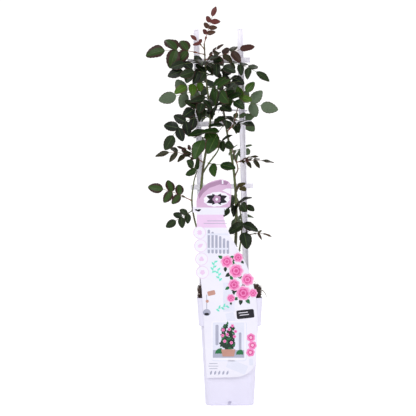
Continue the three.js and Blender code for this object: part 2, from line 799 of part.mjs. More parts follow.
// Leafy shoots.

function startShoot(given) {
  const shoot = { ...USUAL, ...given, leaflets: [], stalks: [], filled: [] };
  const way = heading([shoot.bearing, shoot.rise]);
  const start = startOff(limbs[shoot.cane], shoot.share, way, GROW.stemRadius[0]);
  return { ...shoot, way, start };
}

// Whether any of the points is too close to a limb, the trellis or another shoot's leaves.
function blocked(points, shoot, shoots) {
  const nearest = new THREE.Vector3();
  for (const point of points) {
    for (const { line, radius } of limbLines) {
      line.closestPointToPoint(point, true, nearest);
      if (nearest.distanceTo(point) < radius + GROW.limbRoom) return true;
    }
    const own = point.clone().applyMatrix4(toTrellis).toArray();
    for (const { middle, half } of trellisBoxes) {
      if (own.every((v, i) => Math.abs(v - middle[i]) < half[i] + GROW.trellisRoom)) return true;
    }
    for (const other of shoots) {
      if (other === shoot) continue;
      if (other.filled.some((taken) => taken.distanceTo(point) < GROW.massRoom)) return true;
    }
  }
  return false;
}

// A point of a leaflet: share goes from its root to its tip, and side from edge to edge.
function leafletPoint({ root, along, face, length, wide }, share, side) {
  const across = along.clone().cross(face);
  const swells = share > 0 && share < 1;
  const swell = swells ? Math.sin(Math.PI * share ** LEAFLET.swell) ** LEAFLET.fullness : 0;
  const half = wide * 0.5 * length * swell;
  const lift = LEAFLET.fold * half * Math.abs(side) - LEAFLET.curl * length * share * share;
  return root
    .clone()
    .addScaledVector(along, length * share)
    .addScaledVector(across, half * side)
    .addScaledVector(face, lift);
}

function leafletGrid(leaflet) {
  const points = [];
  for (const share of LEAFLET.rows) {
    for (const side of LEAFLET.sides) points.push(leafletPoint(leaflet, share, side));
  }
  return points;
}

// One leaflet, from where it sits on its stalk, with its upper side turned a little.
function leafletAt(point, out, up, turn, length, wide) {
  return {
    root: point.clone().addScaledVector(out, -GROW.sunk),
    along: out,
    face: turned(squareTo(up, out), out, radians(turn)),
    length,
    wide,
  };
}

// A pair of leaflets at a point of a stalk that goes along one way.
function growPair(rand, point, along, up, size, wide) {
  return [1, -1].map((side) => {
    const across = along.clone().cross(up).multiplyScalar(side);
    const angle = radians(GROW.splay + rand.swing(GROW.splaySwing));
    const out = along.clone().multiplyScalar(Math.cos(angle));
    out.addScaledVector(across, Math.sin(angle));
    out.addScaledVector(up, -GROW.droop - GROW.droopSwing * rand.next()).normalize();
    const turn = rand.swing(GROW.turnSwing);
    return leafletAt(point, out, up, turn, size * (1 + rand.swing(GROW.sizeSwing)), wide);
  });
}

// One compound leaf, from its base on the stem.
function growLeaf(shoot, shoots, rand, base, way) {
  const { leaflet, pairs, petiole, sag, wide } = shoot;
  const bend = rand.swing(GROW.bendSwing);
  const light = squareTo(heading(shoot.light), way);
  const face = turned(light, way, radians(rand.swing(GROW.faceSwing)));
  const along = way.clone();
  const point = base.clone();
  const stalk = [base.clone().addScaledVector(way, -GROW.sunk)];
  const advance = (distance) => {
    const share = distance / GROW.stalkSteps / leaflet;
    for (let i = 0; i < GROW.stalkSteps; i++) {
      point.addScaledVector(along, distance / GROW.stalkSteps);
      stalk.push(point.clone());
      const sideways = face.clone().cross(along);
      along.addScaledVector(UP, -GROW.stalkSag * sag * share);
      along.addScaledVector(sideways, GROW.stalkBend * bend * share).normalize();
    }
  };
  const leaflets = [];
  advance(petiole * leaflet);
  for (let i = 1; i <= pairs; i++) {
    const size = leaflet * THREE.MathUtils.lerp(GROW.firstPair, 1, i / pairs);
    leaflets.push(...growPair(rand, point, along, squareTo(face, along), size, wide));
    advance(GROW.pairSpacing * leaflet);
  }
  const up = squareTo(face, along);
  const out = along.clone().addScaledVector(up, -GROW.endDroop).normalize();
  const turn = rand.swing(GROW.endTurn);
  leaflets.push(leafletAt(point, out, up, turn, leaflet * GROW.endSize, wide));
  if (blocked([base.clone().lerp(stalk[1], 0.6), ...stalk.slice(1)], shoot, shoots)) return;
  shoot.stalks.push(stalk);
  shoot.filled.push(...stalk);
  for (const one of leaflets) {
    const points = leafletGrid(one);
    if (blocked(points, shoot, shoots)) continue;
    shoot.leaflets.push(one);
    shoot.filled.push(...points);
  }
}

// A shoot's stem, then its leaves: the last one goes straight on and the others to the sides.
function growShoot(shoot, _, shoots) {
  const rand = new Seeded(shoot.seed);
  const along = shoot.way.clone();
  const point = shoot.start.clone();
  shoot.stemLine = [point.clone()];
  for (let i = 0; i < GROW.stemSteps; i++) {
    point.addScaledVector(along, shoot.stem / GROW.stemSteps);
    shoot.stemLine.push(point.clone());
    along.addScaledVector(UP, -GROW.stemSag * shoot.sag).normalize();
  }
  for (let k = 0; k < shoot.leaves; k++) {
    const base = shoot.stemLine[Math.round(((k + 1) / shoot.leaves) * GROW.stemSteps)];
    let way = shoot.way;
    if (k < shoot.leaves - 1) {
      const side = k % 2 ? -1 : 1;
      way = turned(shoot.way, UP, radians(side * GROW.sideTurn + rand.swing(GROW.sideSwing)));
      way.addScaledVector(UP, rand.swing(GROW.sideRise)).normalize();
    }
    growLeaf(shoot, shoots, rand, base, way);
  }
}

// A leaflet as a thin folded lens: an edge, and a midrib above and below it.
function leafletGeometry(leaflet) {
  const rib = leaflet.face.clone().multiplyScalar(LEAFLET.thick / 2);
  const corners = [
    leafletPoint(leaflet, 0, 0),
    leafletPoint(leaflet, 1, 0),
    ...LEAFLET.edge.map((share) => leafletPoint(leaflet, share, 1)),
    ...LEAFLET.edge.map((share) => leafletPoint(leaflet, share, -1)),
    leafletPoint(leaflet, LEAFLET.middle, 0).add(rib),
    leafletPoint(leaflet, LEAFLET.middle, 0).sub(rib),
  ];
  const half = (a, b, c, top) => [0, a, top, a, b, top, b, c, top, c, 1, top];
  const flipped = (faces) => faces.map((_, i) => faces[i - (i % 3) + [0, 2, 1][i % 3]]);
  const faces = [
    ...half(2, 3, 4, 8),
    ...flipped(half(5, 6, 7, 8)),
    ...flipped(half(2, 3, 4, 9)),
    ...half(5, 6, 7, 9),
  ];
  return new THREE.BufferGeometry().setFromPoints(corners).setIndex(faces);
}

function shootSolid(shoot) {
  const tube = (line, radius, sides) =>
    solid(limb(curveThrough(line), (line.length - 1) / GROW.stalkSteps, radius, sides));
  let made = tube(shoot.stemLine, GROW.stemRadius, 5);
  for (const stalk of shoot.stalks) made = made.add(tube(stalk, GROW.stalkRadius, 3));
  for (const leaflet of shoot.leaflets) made = made.add(solid(leafletGeometry(leaflet)));
  const bodies = made.decompose().sort((a, b) => b.volume() - a.volume());
  return bodies[0];
}

// The assembly.

function material(color, roughness, metalness = 0) {
  return new THREE.MeshStandardMaterial({ color, roughness, metalness });
}

const WHITE_PLASTIC = material(0xecebf7, 0.45);
const SOIL_LOOK = material(0x42302a, 0.95);
const BARK = material(0x6b5a45, 0.85);
const STRING = material(0xc9c7cf, 0.8);
const CARD_LOOK = material(0xe3c3e2, 0.35);

const plant = new THREE.Group();

function put(name, geometry, look, group = plant) {
  const mesh = new THREE.Mesh(geometry, look);
  mesh.name = name;
  group.add(mesh);
}

put("pot", geometryOf(potSolid()), WHITE_PLASTIC);
put("soil", geometryOf(soilSolid()), SOIL_LOOK);
put("root_crown", geometryOf(crownSolid()), BARK);
for (const [name, { curve, radius, colour }] of Object.entries(limbs)) {
  put(name, limb(curve, CANE_STEPS / 2, radius, 5), material(colour, 0.55));
}

const shoots = SHOOTS.map(startShoot);
shoots.forEach(growShoot);
for (const shoot of shoots) {
  put(shoot.name, geometryOf(shootSolid(shoot)), material(TINTS[shoot.tint], 0.45));
}

const trellis = new THREE.Group();
trellis.applyMatrix4(trellisMatrix());
plant.add(trellis);
put("trellis_upright_left", uprightGeometry(uprightShape(0), -1, 0), WHITE_PLASTIC, trellis);
put("trellis_upright_right", uprightGeometry(uprightShape(0), 1, 0), WHITE_PLASTIC, trellis);
for (let i = 0; i < TRELLIS.rungs; i++) {
  const rung = rungGeometry().translate(0, 0, -i * TRELLIS.rungPitch);
  put("trellis_rung_" + (i + 1), rung, WHITE_PLASTIC, trellis);
}
put("plant_tie", geometryOf(tieSolid()), STRING);
put("label_card", geometryOf(cardSolid()), CARD_LOOK);

export default plant;
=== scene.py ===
import math

import bpy
import numpy as np
from mathutils import Matrix, Vector, noise


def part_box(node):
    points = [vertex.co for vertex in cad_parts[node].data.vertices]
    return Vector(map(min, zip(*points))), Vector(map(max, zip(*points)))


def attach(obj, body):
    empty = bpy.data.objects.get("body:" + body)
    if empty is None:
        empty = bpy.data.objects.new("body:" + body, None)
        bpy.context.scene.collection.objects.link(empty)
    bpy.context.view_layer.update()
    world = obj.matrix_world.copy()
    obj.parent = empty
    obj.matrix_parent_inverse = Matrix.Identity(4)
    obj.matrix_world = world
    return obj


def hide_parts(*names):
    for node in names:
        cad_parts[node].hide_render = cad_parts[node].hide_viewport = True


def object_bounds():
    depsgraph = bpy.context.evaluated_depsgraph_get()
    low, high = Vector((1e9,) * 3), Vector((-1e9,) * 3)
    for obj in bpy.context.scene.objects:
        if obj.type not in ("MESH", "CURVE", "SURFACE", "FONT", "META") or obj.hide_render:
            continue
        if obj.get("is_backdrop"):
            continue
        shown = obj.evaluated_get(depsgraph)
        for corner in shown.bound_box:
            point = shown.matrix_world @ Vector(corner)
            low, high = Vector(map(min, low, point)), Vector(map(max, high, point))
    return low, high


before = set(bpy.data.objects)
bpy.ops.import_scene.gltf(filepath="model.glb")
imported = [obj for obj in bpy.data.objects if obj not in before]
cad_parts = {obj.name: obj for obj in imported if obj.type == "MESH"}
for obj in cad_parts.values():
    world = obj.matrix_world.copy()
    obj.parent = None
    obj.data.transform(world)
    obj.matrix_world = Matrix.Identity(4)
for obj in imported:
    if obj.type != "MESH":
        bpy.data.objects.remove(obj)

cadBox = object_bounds()
mm = 0.001
scene = bpy.context.scene
up = np.array((0.0, 0.0, 1.0))


# small tools for objects, meshes and modifiers

def pick(*objects):
    bpy.ops.object.select_all(action="DESELECT")
    for one in objects:
        one.select_set(True)
    bpy.context.view_layer.objects.active = objects[0]
    return objects[0]


def added(name):
    made = bpy.context.active_object
    made.name = made.data.name = name
    return made


def openMesh():
    # edit mode, with everything selected
    bpy.ops.object.mode_set(mode="EDIT")
    bpy.ops.mesh.select_all(action="SELECT")


def closeMesh():
    bpy.ops.object.mode_set(mode="OBJECT")


def modify(obj, kind, **settings):
    pick(obj)
    modifier = obj.modifiers.new(kind, kind)
    for key, value in settings.items():
        setattr(modifier, key, value)
    bpy.ops.object.modifier_apply(modifier=modifier.name)
    return obj


def settle(obj):
    pick(obj)
    bpy.ops.object.transform_apply(location=True, rotation=True, scale=True)
    return obj


def join(objects, name):
    first = pick(*objects)
    if len(objects) > 1:
        bpy.ops.object.join()
    first.name = first.data.name = name
    return first


def selectFaces(obj, test):
    # by place and normal; leaves the mesh in edit mode
    closeMesh()
    for part in (obj.data.vertices, obj.data.edges, obj.data.polygons):
        part.foreach_set("select", [False] * len(part))
    for face in obj.data.polygons:
        face.select = bool(test(face.center, face.normal))
    bpy.ops.object.mode_set(mode="EDIT")
    bpy.ops.mesh.select_mode(type="FACE")


def drawUp(levels, middle=(0, 0, 0)):
    # extrudes what is selected to each height in turn and widens it there
    width, height = levels[0]
    for nextWidth, nextHeight in levels[1:]:
        rise = (nextHeight - height) * mm
        bpy.ops.mesh.extrude_region_move(TRANSFORM_OT_translate={"value": (0, 0, rise)})
        if nextWidth != width:
            factor = nextWidth / width
            bpy.ops.transform.resize(value=(factor, factor, 1), center_override=middle)
        width, height = nextWidth, nextHeight


def outwards(obj):
    pick(obj)
    openMesh()
    bpy.ops.mesh.remove_doubles(threshold=0.00001)
    bpy.ops.mesh.normals_make_consistent(inside=False)
    closeMesh()
    return obj


def wear(obj, *materials):
    obj.data.materials.clear()
    for material in materials:
        obj.data.materials.append(material)


def finish(obj, slot, nodes=(), smooth=35):
    pick(obj)
    bpy.ops.object.shade_smooth_by_angle(angle=math.radians(smooth))
    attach(obj, "root")
    if nodes:
        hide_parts(*nodes)
    return obj


# node tools

def linear(value):
    value /= 255
    return value / 12.92 if value <= 0.04045 else ((value + 0.055) / 1.055) ** 2.4


def paint(color):
    return (*map(linear, color), 1)


def feed(tree, node, values):
    # another node's output is linked to the socket, anything else is set on it
    for key, value in values.items():
        if isinstance(value, bpy.types.NodeSocket):
            tree.links.new(value, node.inputs[key])
        else:
            node.inputs[key].default_value = value


def output(tree, kind, values, **settings):
    # adds a node and gives its first output
    made = tree.nodes.new("ShaderNode" + kind)
    for key, value in settings.items():
        setattr(made, key, value)
    feed(tree, made, values)
    return made.outputs[0]


def ranged(tree, value, low, high, **settings):
    return output(tree, "MapRange", {"Value": value, "To Min": low, "To Max": high, **settings})


def newGroup(name, inputs, outputs):
    group = bpy.data.node_groups.new(name, "ShaderNodeTree")
    for label, value in inputs.items():
        kind = "NodeSocketVector" if isinstance(value, tuple) else "NodeSocketFloat"
        group.interface.new_socket(label, in_out="INPUT", socket_type=kind).default_value = value
    for label in outputs:
        group.interface.new_socket(label, in_out="OUTPUT", socket_type="NodeSocketFloat")
    return group, group.nodes.new("NodeGroupInput").outputs, group.nodes.new("NodeGroupOutput")


def objectPlace(tree):
    return tree.nodes.new("ShaderNodeTexCoord").outputs["Object"]


# surface grain: soft patches, and a fine relief, both stretched as asked
grainGroup, grainIn, grainOut = newGroup(
    "surfaceGrain",
    {"Stretch": (1.0, 1.0, 1.0), "Patches": 20.0, "Grain": 900.0},
    ["Patch", "Relief"],
)
place = {0: objectPlace(grainGroup), 1: grainIn["Stretch"]}
stretched = output(grainGroup, "VectorMath", place, operation="MULTIPLY")
patches, fine = (
    output(grainGroup, "TexNoise", {"Vector": stretched, "Scale": grainIn[scale], "Detail": detail})
    for scale, detail in (("Patches", 3.0), ("Grain", 4.0))
)
spread = ranged(grainGroup, patches, 0.0, 1.0, **{"From Min": 0.35, "From Max": 0.65})
feed(grainGroup, grainOut, {"Patch": spread, "Relief": fine})

# leaf veins: side veins that slant forward from the midrib, on the leaflet's own map
veinGroup, veinIn, veinOut = newGroup(
    "leafVeins", {"Pairs": 8.0, "Slant": 0.45}, ["Height", "Gloss"]
)


def veinMath(operation, first, second=0.0):
    return output(veinGroup, "Math", {0: first, 1: second}, operation=operation)


mapParts = output(veinGroup, "SeparateXYZ", {0: output(veinGroup, "UVMap", {}, uv_map="leaf")}).node
sideways = veinMath("ABSOLUTE", veinMath("SUBTRACT", mapParts.outputs[0], 0.5))
slanted = veinMath("MULTIPLY", sideways, veinIn["Slant"])
alongLeaf = veinMath("SUBTRACT", mapParts.outputs[1], slanted)
wave = veinMath("PINGPONG", veinMath("MULTIPLY", alongLeaf, veinIn["Pairs"]), 1.0)
quilt = output(
    veinGroup, "MapRange", {"Value": wave, "From Max": 0.5}, interpolation_type="SMOOTHSTEP"
)
mottle = output(veinGroup, "TexNoise", {"Vector": objectPlace(veinGroup), "Scale": 300.0})
gloss = ranged(veinGroup, mottle, 0.0, 1.0, **{"From Min": 0.3, "From Max": 0.7})
feed(veinGroup, veinOut, {"Height": quilt, "Gloss": gloss})


def patterned(name, group, settings, gloss, height, rough, relief, depth, sockets):
    # a material whose roughness and relief follow two outputs of a group
    material = bpy.data.materials.new(name)
    material.use_nodes = True
    tree = material.node_tree
    marks = output(tree, "Group", settings, node_tree=group).node.outputs
    bump = output(tree, "Bump", {"Height": marks[height], "Strength": relief, "Distance": depth})
    sockets = {"Roughness": ranged(tree, marks[gloss], *rough), "Normal": bump, **sockets}
    feed(tree, tree.nodes["Principled BSDF"], sockets)
    return material, tree, marks


def grainMaterial(
    name, light, dark, rough=(0.4, 0.5), patches=20, grain=900, stretch=(1, 1, 1),
    relief=0.1, depth=0.0002, **sockets
):
    # two close colours in patches, a roughness that follows the fine relief, and that relief
    settings = {"Patches": patches, "Grain": grain, "Stretch": stretch}
    material, tree, marks = patterned(
        name, grainGroup, settings, "Relief", "Relief", rough, relief, depth, sockets
    )
    colors = {0: marks["Patch"], 6: paint(light), 7: paint(dark)}
    mix = output(tree, "Mix", colors, data_type="RGBA").node.outputs[2]
    feed(tree, tree.nodes["Principled BSDF"], {"Base Color": mix})
    return material


def leafMaterial(name, color, rough=(0.3, 0.48), relief=0.3):
    sockets = {"Base Color": paint(color), "Specular IOR Level": 0.2}
    return patterned(name, veinGroup, {}, "Gloss", "Height", rough, relief, 0.0004, sockets)[0]


# camera and studio

studio = {
    "cameraPlace": (-42.5, -2200, 387),
    "lens": 95.2,
    "sky": 0.6,
    "backdrop": 1.1,
    "floorGlow": (0.25, 0.6),
    "lamps": {
        "key": {"place": (-0.9, -1.5, 1.7), "size": 1.3, "watts": 18},
        "fill": {"place": (1.5, -1.3, 0.8), "size": 1.6, "watts": 10},
        "rim": {"place": (0.6, 1.4, 1.5), "size": 1.4, "watts": 7},
    },
    "aim": (-0.03, 0, 0.4),
    "floor": 6.0,
}
camera = bpy.data.objects.new("camera", bpy.data.cameras.new("camera"))
scene.collection.objects.link(camera)
scene.camera = camera
camera.location = Vector(studio["cameraPlace"]) * mm
camera.rotation_euler = (math.pi / 2, 0, 0)
camera.data.sensor_width = 36
camera.data.lens = studio["lens"]
scene.view_settings.view_transform = "Standard"


def whenSeen(tree, hidden, seen):
    # one strength for what the camera sees straight on, another for the light that it gives
    rays = tree.nodes.new("ShaderNodeLightPath")
    return ranged(tree, rays.outputs["Is Camera Ray"], hidden, seen)


world = bpy.data.worlds.new("studio")
world.use_nodes = True
skyTree = world.node_tree
skyStrength = whenSeen(skyTree, studio["sky"], studio["backdrop"])
feed(skyTree, skyTree.nodes["Background"], {"Color": (1, 1, 1, 1), "Strength": skyStrength})
scene.world = world
for name, lamp in studio["lamps"].items():
    bpy.ops.object.light_add(type="AREA", location=lamp["place"])
    light = added(name)
    light.data.energy = lamp["watts"]
    light.data.size = lamp["size"]
    aim = Vector(studio["aim"]) - light.location
    light.rotation_euler = aim.to_track_quat("-Z", "Y").to_euler()

floorWhite = grainMaterial(
    "floorWhite", (252, 252, 253), (250, 250, 252), rough=(0.8, 0.9), relief=0.02,
    **{"Emission Color": (1, 1, 1, 1)},
)
floorTree = floorWhite.node_tree
floorStrength = whenSeen(floorTree, *studio["floorGlow"])
feed(floorTree, floorTree.nodes["Principled BSDF"], {"Emission Strength": floorStrength})
bpy.ops.mesh.primitive_plane_add(size=studio["floor"], location=(0, 0, -0.0006))
floor = added("floor")
wear(floor, floorWhite)
floor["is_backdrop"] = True
print("studio ready")


# the pot, in millimetres: half widths and heights

pot = {
    "foot": [(46.4, 0), (47.9, 2.5), (52, 80), (56.2, 156.5), (56.6, 157.6)],
    "footInside": [(54.6, 157.6), (46.9, 12), (46.5, 11.9)],
    "footCorner": 13,
    "collar": [(57.2, 156.9), (60.2, 157), (60.9, 158.2), (63.8, 211), (63.4, 212)],
    "collarInside": [(62.2, 212), (61.9, 210.8), (58.7, 159), (57.2, 158.6)],
    "collarCorner": 9,
    "notch": (6, 9, 9),
    "tab": (15, 1.6, 7),
    "tabFace": 48.3,
    "edge": 0.5,
}
potWhite = grainMaterial(
    "potWhite", (222, 219, 237), (217, 214, 233), rough=(0.34, 0.46),
    patches=14, grain=1500, relief=0.05,
)


def roundedPlate(name, half, corner, height):
    bpy.ops.mesh.primitive_plane_add(size=2 * half * mm, location=(0, 0, height * mm))
    plate = settle(added(name))
    openMesh()
    bpy.ops.mesh.bevel(offset=corner * mm, segments=8, affect="VERTICES")
    return plate


def softened(obj):
    settings = {"limit_method": "ANGLE", "angle_limit": math.radians(28), "segments": 2}
    return modify(obj, "BEVEL", width=pot["edge"] * mm, **settings)


def boxAt(name, middle, size, turn=Matrix()):
    bpy.ops.mesh.primitive_cube_add(size=1)
    made = added(name)
    shape = Matrix.Diagonal((*(Vector(size) * mm), 1))
    made.matrix_world = turn @ Matrix.Translation(Vector(middle) * mm) @ shape
    return settle(made)


def potBody():
    body = roundedPlate("potBody", pot["foot"][0][0], pot["footCorner"], 0)
    drawUp(pot["foot"] + pot["footInside"])
    closeMesh()
    softened(outwards(body))
    notch, tab = Vector(pot["notch"]), Vector(pot["tab"])
    for quarter in range(4):
        turn = Matrix.Rotation(quarter * math.pi / 2, 4, "Z")
        for middle, size in (
            ((0, -pot["foot"][1][0], 0), (notch.x, notch.y, 2 * notch.z)),
            ((-(notch.x + tab.x) / 2, -pot["tabFace"], 0), (tab.x, tab.y, 2 * tab.z)),
        ):
            cutter = boxAt("cutter", middle, size, turn)
            modify(body, "BOOLEAN", object=cutter, operation="DIFFERENCE", solver="EXACT")
            bpy.data.objects.remove(cutter)
    return body


def potCollar():
    levels = pot["collar"] + pot["collarInside"]
    collar = roundedPlate("potCollar", levels[0][0], pot["collarCorner"], levels[0][1])
    drawUp(levels)
    bpy.ops.mesh.delete(type="FACE")
    lowest = levels[0][1] * mm
    selectFaces(collar, lambda middle, normal: abs(middle.z - lowest) < 1e-5 and abs(normal.z) > 0.9)
    bpy.ops.mesh.delete(type="FACE")
    bpy.ops.mesh.select_mode(type="EDGE")
    bpy.ops.mesh.select_all(action="DESELECT")
    bpy.ops.mesh.select_non_manifold()
    bpy.ops.mesh.bridge_edge_loops()
    closeMesh()
    return softened(outwards(collar))


potPiece = join([potBody(), potCollar()], "nurseryPot")
wear(potPiece, potWhite)
finish(potPiece, "pot_plastic", ["pot"])
print("pot ready,", len(potPiece.data.polygons), "faces")


# soil with bark, perlite and fibres

soil = {
    "half": 61.6,
    "top": 231,
    "bottom": 206,
    "corner": 0.22,
    "cuts": 26,
    "rough": 2.6,
    "lumpSeed": 5,
    "rim": 212,
    "free": 6,
    "shoulder": (225, 0.86, 12),
    "chips": {"count": 420, "size": (7, 4.2, 2.4), "seed": 11, "bluntness": 0.3},
    "perlite": {"count": 90, "size": (3, 2.6, 2.2), "seed": 12, "bluntness": 0.2},
    "fibres": {"count": 150, "length": (8, 26), "radius": 0.28, "curl": 0.35, "seed": 13},
    "fibreRoom": ((-64, -64, 210), (64, 64, 237)),
    "strayFibre": [(60, -30, 226), (66, -34, 224), (70, -36, 219), (73, -37, 212)],
}
soilDark = grainMaterial(
    "soilDark", (66, 46, 40), (36, 24, 22), rough=(0.8, 1.0),
    patches=260, grain=1800, relief=0.8, depth=0.0012,
)
barkChip = grainMaterial(
    "barkChip", (92, 64, 48), (50, 33, 28), rough=(0.7, 0.95),
    patches=180, grain=1500, relief=0.6, depth=0.0006,
)
perliteWhite = grainMaterial(
    "perliteWhite", (226, 220, 214), (188, 178, 170), rough=(0.8, 0.95),
    patches=500, grain=2500, relief=0.6, depth=0.0004,
)
fibreBrown = grainMaterial("fibreBrown", (120, 84, 58), (78, 54, 42), rough=(0.7, 0.9), patches=200)


def unit(vector):
    return vector / np.linalg.norm(vector)


def between(ends, share):
    return ends[0] + (ends[1] - ends[0]) * share


def directions(line):
    ways = np.gradient(line, axis=0)
    return ways / np.linalg.norm(ways, axis=1)[:, None]


def tube(points, radii, sides):
    # a closed round bar along points, as points and faces in the same unit
    points = np.asarray(points, float)
    ways = directions(points)
    side = np.cross(ways[0], (0.36, 0.48, 0.8) if abs(ways[0][2]) < 0.7 else (1.0, 0.2, 0.0))
    angles = np.arange(sides) * 2 * math.pi / sides
    rings = []
    for point, way, radius in zip(points, ways, np.broadcast_to(radii, len(points))):
        side = unit(side - way * side.dot(way))
        other = np.cross(way, side)
        ring = np.outer(np.cos(angles), side) + np.outer(np.sin(angles), other)
        rings.append(point + radius * ring)
    steps = np.arange(len(points) - 1)[:, None] * sides
    here, after = np.arange(sides), (np.arange(sides) + 1) % sides
    quads = np.stack([steps + here, steps + after, steps + sides + after, steps + sides + here], -1)
    ends = [here[::-1].tolist(), (here + (len(points) - 1) * sides).tolist()]
    return np.concatenate(rings), quads.reshape(-1, 4).tolist() + ends


def gathered(name, parts, *materials):
    # one mesh from many small ones in millimetres, each given as points and faces
    points, faces, start = [], [], 0
    for partPoints, partFaces in parts:
        points.append(partPoints)
        faces.extend([[start + corner for corner in face] for face in partFaces])
        start += len(partPoints)
    mesh = bpy.data.meshes.new(name)
    mesh.from_pydata((np.concatenate(points) * mm).tolist(), [], faces)
    obj = bpy.data.objects.new(name, mesh)
    scene.collection.objects.link(obj)
    wear(obj, *materials)
    return obj


def pebble(size, bluntness, rand):
    # a small crumb: an icosphere flattened, its corners moved a little
    bpy.ops.mesh.primitive_ico_sphere_add(subdivisions=1, radius=0.5)
    crumb = added("crumb")
    points = np.array([v.co for v in crumb.data.vertices]) * size
    points *= 1 + rand.uniform(-bluntness, bluntness, points.shape)
    faces = [list(face.vertices) for face in crumb.data.polygons]
    bpy.data.objects.remove(crumb)
    return points, faces


def onSoil(rand):
    # a place on the soil's top, or on its sides above the rim
    half = soil["half"] - 2
    if rand.random() < 0.6:
        x, y = rand.uniform(-half, half, 2)
        return np.array((x, y, soil["top"] - 0.5 + rand.uniform(-1, 1)))
    across, side = rand.uniform(-half + 6, half - 6), rand.choice((-1, 1))
    place = (across, side * half) if rand.random() < 0.5 else (side * half, across)
    return np.array((*place, rand.uniform(soil["rim"] + 1, soil["top"] - 1)))


def turnedAnyhow(points, rand):
    axis = Vector(unit(rand.normal(size=3)))
    return points @ np.array(Matrix.Rotation(rand.uniform(0, 2 * math.pi), 3, axis))


def crumbs(name, settings, material):
    rand = np.random.default_rng(settings["seed"])
    kinds = [pebble(settings["size"], settings["bluntness"], rand) for _ in range(5)]
    parts = []
    for i in range(settings["count"]):
        points, faces = kinds[i % len(kinds)]
        parts.append((turnedAnyhow(points * rand.uniform(0.5, 1.2), rand) + onSoil(rand), faces))
    return finish(gathered(name, parts, material), "soil", smooth=20)


def soilBlock():
    bpy.ops.mesh.primitive_cube_add(size=2)
    block = added("soilBlock")
    openMesh()
    bpy.ops.mesh.subdivide(number_cuts=soil["cuts"])
    closeMesh()
    shoulderFrom, shoulderEdge, shoulderDrop = soil["shoulder"]
    for vertex in block.data.vertices:
        x, y, z = vertex.co
        square = max(abs(x), abs(y))
        diagonal = math.hypot(x, y) / square if square else 1
        half = soil["half"] * (1 - soil["corner"] * max(0, diagonal - 1.12) * square)
        height = between((soil["bottom"], soil["top"]), (z + 1) / 2)
        drop = max(0.0, (height - shoulderFrom) / 6) * max(0.0, square - shoulderEdge)
        place = Vector((x * half, y * half, height - drop * shoulderDrop))
        lumps = noise.noise_vector(place * 0.16) + 0.6 * noise.noise_vector(place * 0.45)
        free = min(1.0, max(0.0, (height - soil["rim"]) / soil["free"]))
        vertex.co = (place + lumps * soil["rough"] * free) * mm
    wear(block, soilDark)
    return finish(block, "soil", ["soil"], smooth=25)


def fibres():
    settings = soil["fibres"]
    rand = np.random.default_rng(settings["seed"])
    strands = [tube(soil["strayFibre"], [0.9, 0.8, 0.6, 0.3], 5)]
    for _ in range(settings["count"]):
        start, length = onSoil(rand), rand.uniform(*settings["length"])
        along = unit(rand.normal(size=3) * (1, 1, 0.25))
        curl = rand.normal(size=3) * settings["curl"]
        line = [start + along * length * t + curl * length * t * t for t in (0, 0.33, 0.66, 1)]
        line = np.clip(line, *soil["fibreRoom"])
        if np.linalg.norm(np.diff(line, axis=0), axis=1).min() > 0.5:
            strands.append(tube(line, settings["radius"], 3))
    return finish(gathered("coirFibres", strands, fibreBrown), "soil")


noise.seed_set(soil["lumpSeed"])  # without it the lumps follow the clock
soilBlock()
crumbs("barkChips", soil["chips"], barkChip)
crumbs("perlite", soil["perlite"], perliteWhite)
fibres()
print("soil ready")


# the rose's foot

crown = {
    "place": (0, -1, 229.5),
    "levels": [(16, 0), (14, 3), (11, 7), (11.5, 11), (15.5, 15.5), (15, 19.5), (11, 23), (5, 25)],
    "sides": 16,
    "knobs": 2.2,
    "core": 4,
}
barkGrey = grainMaterial(
    "barkGrey", (122, 104, 82), (72, 58, 46), rough=(0.75, 0.95), patches=160, grain=1300,
    stretch=(1, 1, 0.35), relief=0.9, depth=0.001,
)
crownPlace = Vector(crown["place"]) * mm
crownRadius = crown["levels"][0][0] * mm
bpy.ops.mesh.primitive_circle_add(
    vertices=crown["sides"], radius=crownRadius, fill_type="NGON", location=crownPlace
)
crownPiece = settle(added("rootCrownBark"))
openMesh()
drawUp(crown["levels"], crownPlace)
closeMesh()
outwards(crownPiece)
modify(crownPiece, "SUBSURF", levels=2, render_levels=2)
for vertex in crownPiece.data.vertices:
    away = Vector((vertex.co.x, vertex.co.y, 0))
    if away.length > crown["core"] * mm:
        lump = noise.noise(vertex.co * 90) + 0.5 * noise.noise(vertex.co * 260)
        vertex.co += away.normalized() * lump * crown["knobs"] * mm
wear(crownPiece, barkGrey)
finish(crownPiece, "bark", ["root_crown"], smooth=60)


# the ladder trellis, in its own frame: the middle of its top rung is its origin

trellis = {
    "lean": 1.4,
    "place": (-20.6, 0, 683.3),
    "spread": 44.3,
    "upright": (12, 6),
    "front": 16,
    "above": 65,
    "below": 510,
    "rib": 2.2,
    "groove": 2.2,
    "rungs": 3,
    "pitch": 126.7,
    "rung": (126, 4, 10),
    "rungRib": 1.8,
    "rungGroove": 0.6,
    "gap": 0.3,
    "edge": 0.7,
}
trellisFrame = Matrix.Translation(Vector(trellis["place"]) * mm) @ Matrix.Rotation(
    math.radians(-trellis["lean"]), 4, "Y"
)
trellisWhite = grainMaterial(
    "trellisWhite", (243, 240, 250), (238, 235, 247), rough=(0.3, 0.42),
    patches=25, grain=1400, relief=0.05,
)


def uprightBox(side):
    # its middle and its size
    width, depth = trellis["upright"]
    above, below = trellis["above"], trellis["below"]
    middle = (side * trellis["spread"], trellis["front"] + depth / 2, (above - below) / 2)
    return middle, (width, depth, above + below)


def rungBox(number):
    size = trellis["rung"]
    middle = trellis["front"] - trellis["gap"] - size[1] / 2
    return (0, middle, -number * trellis["pitch"]), size


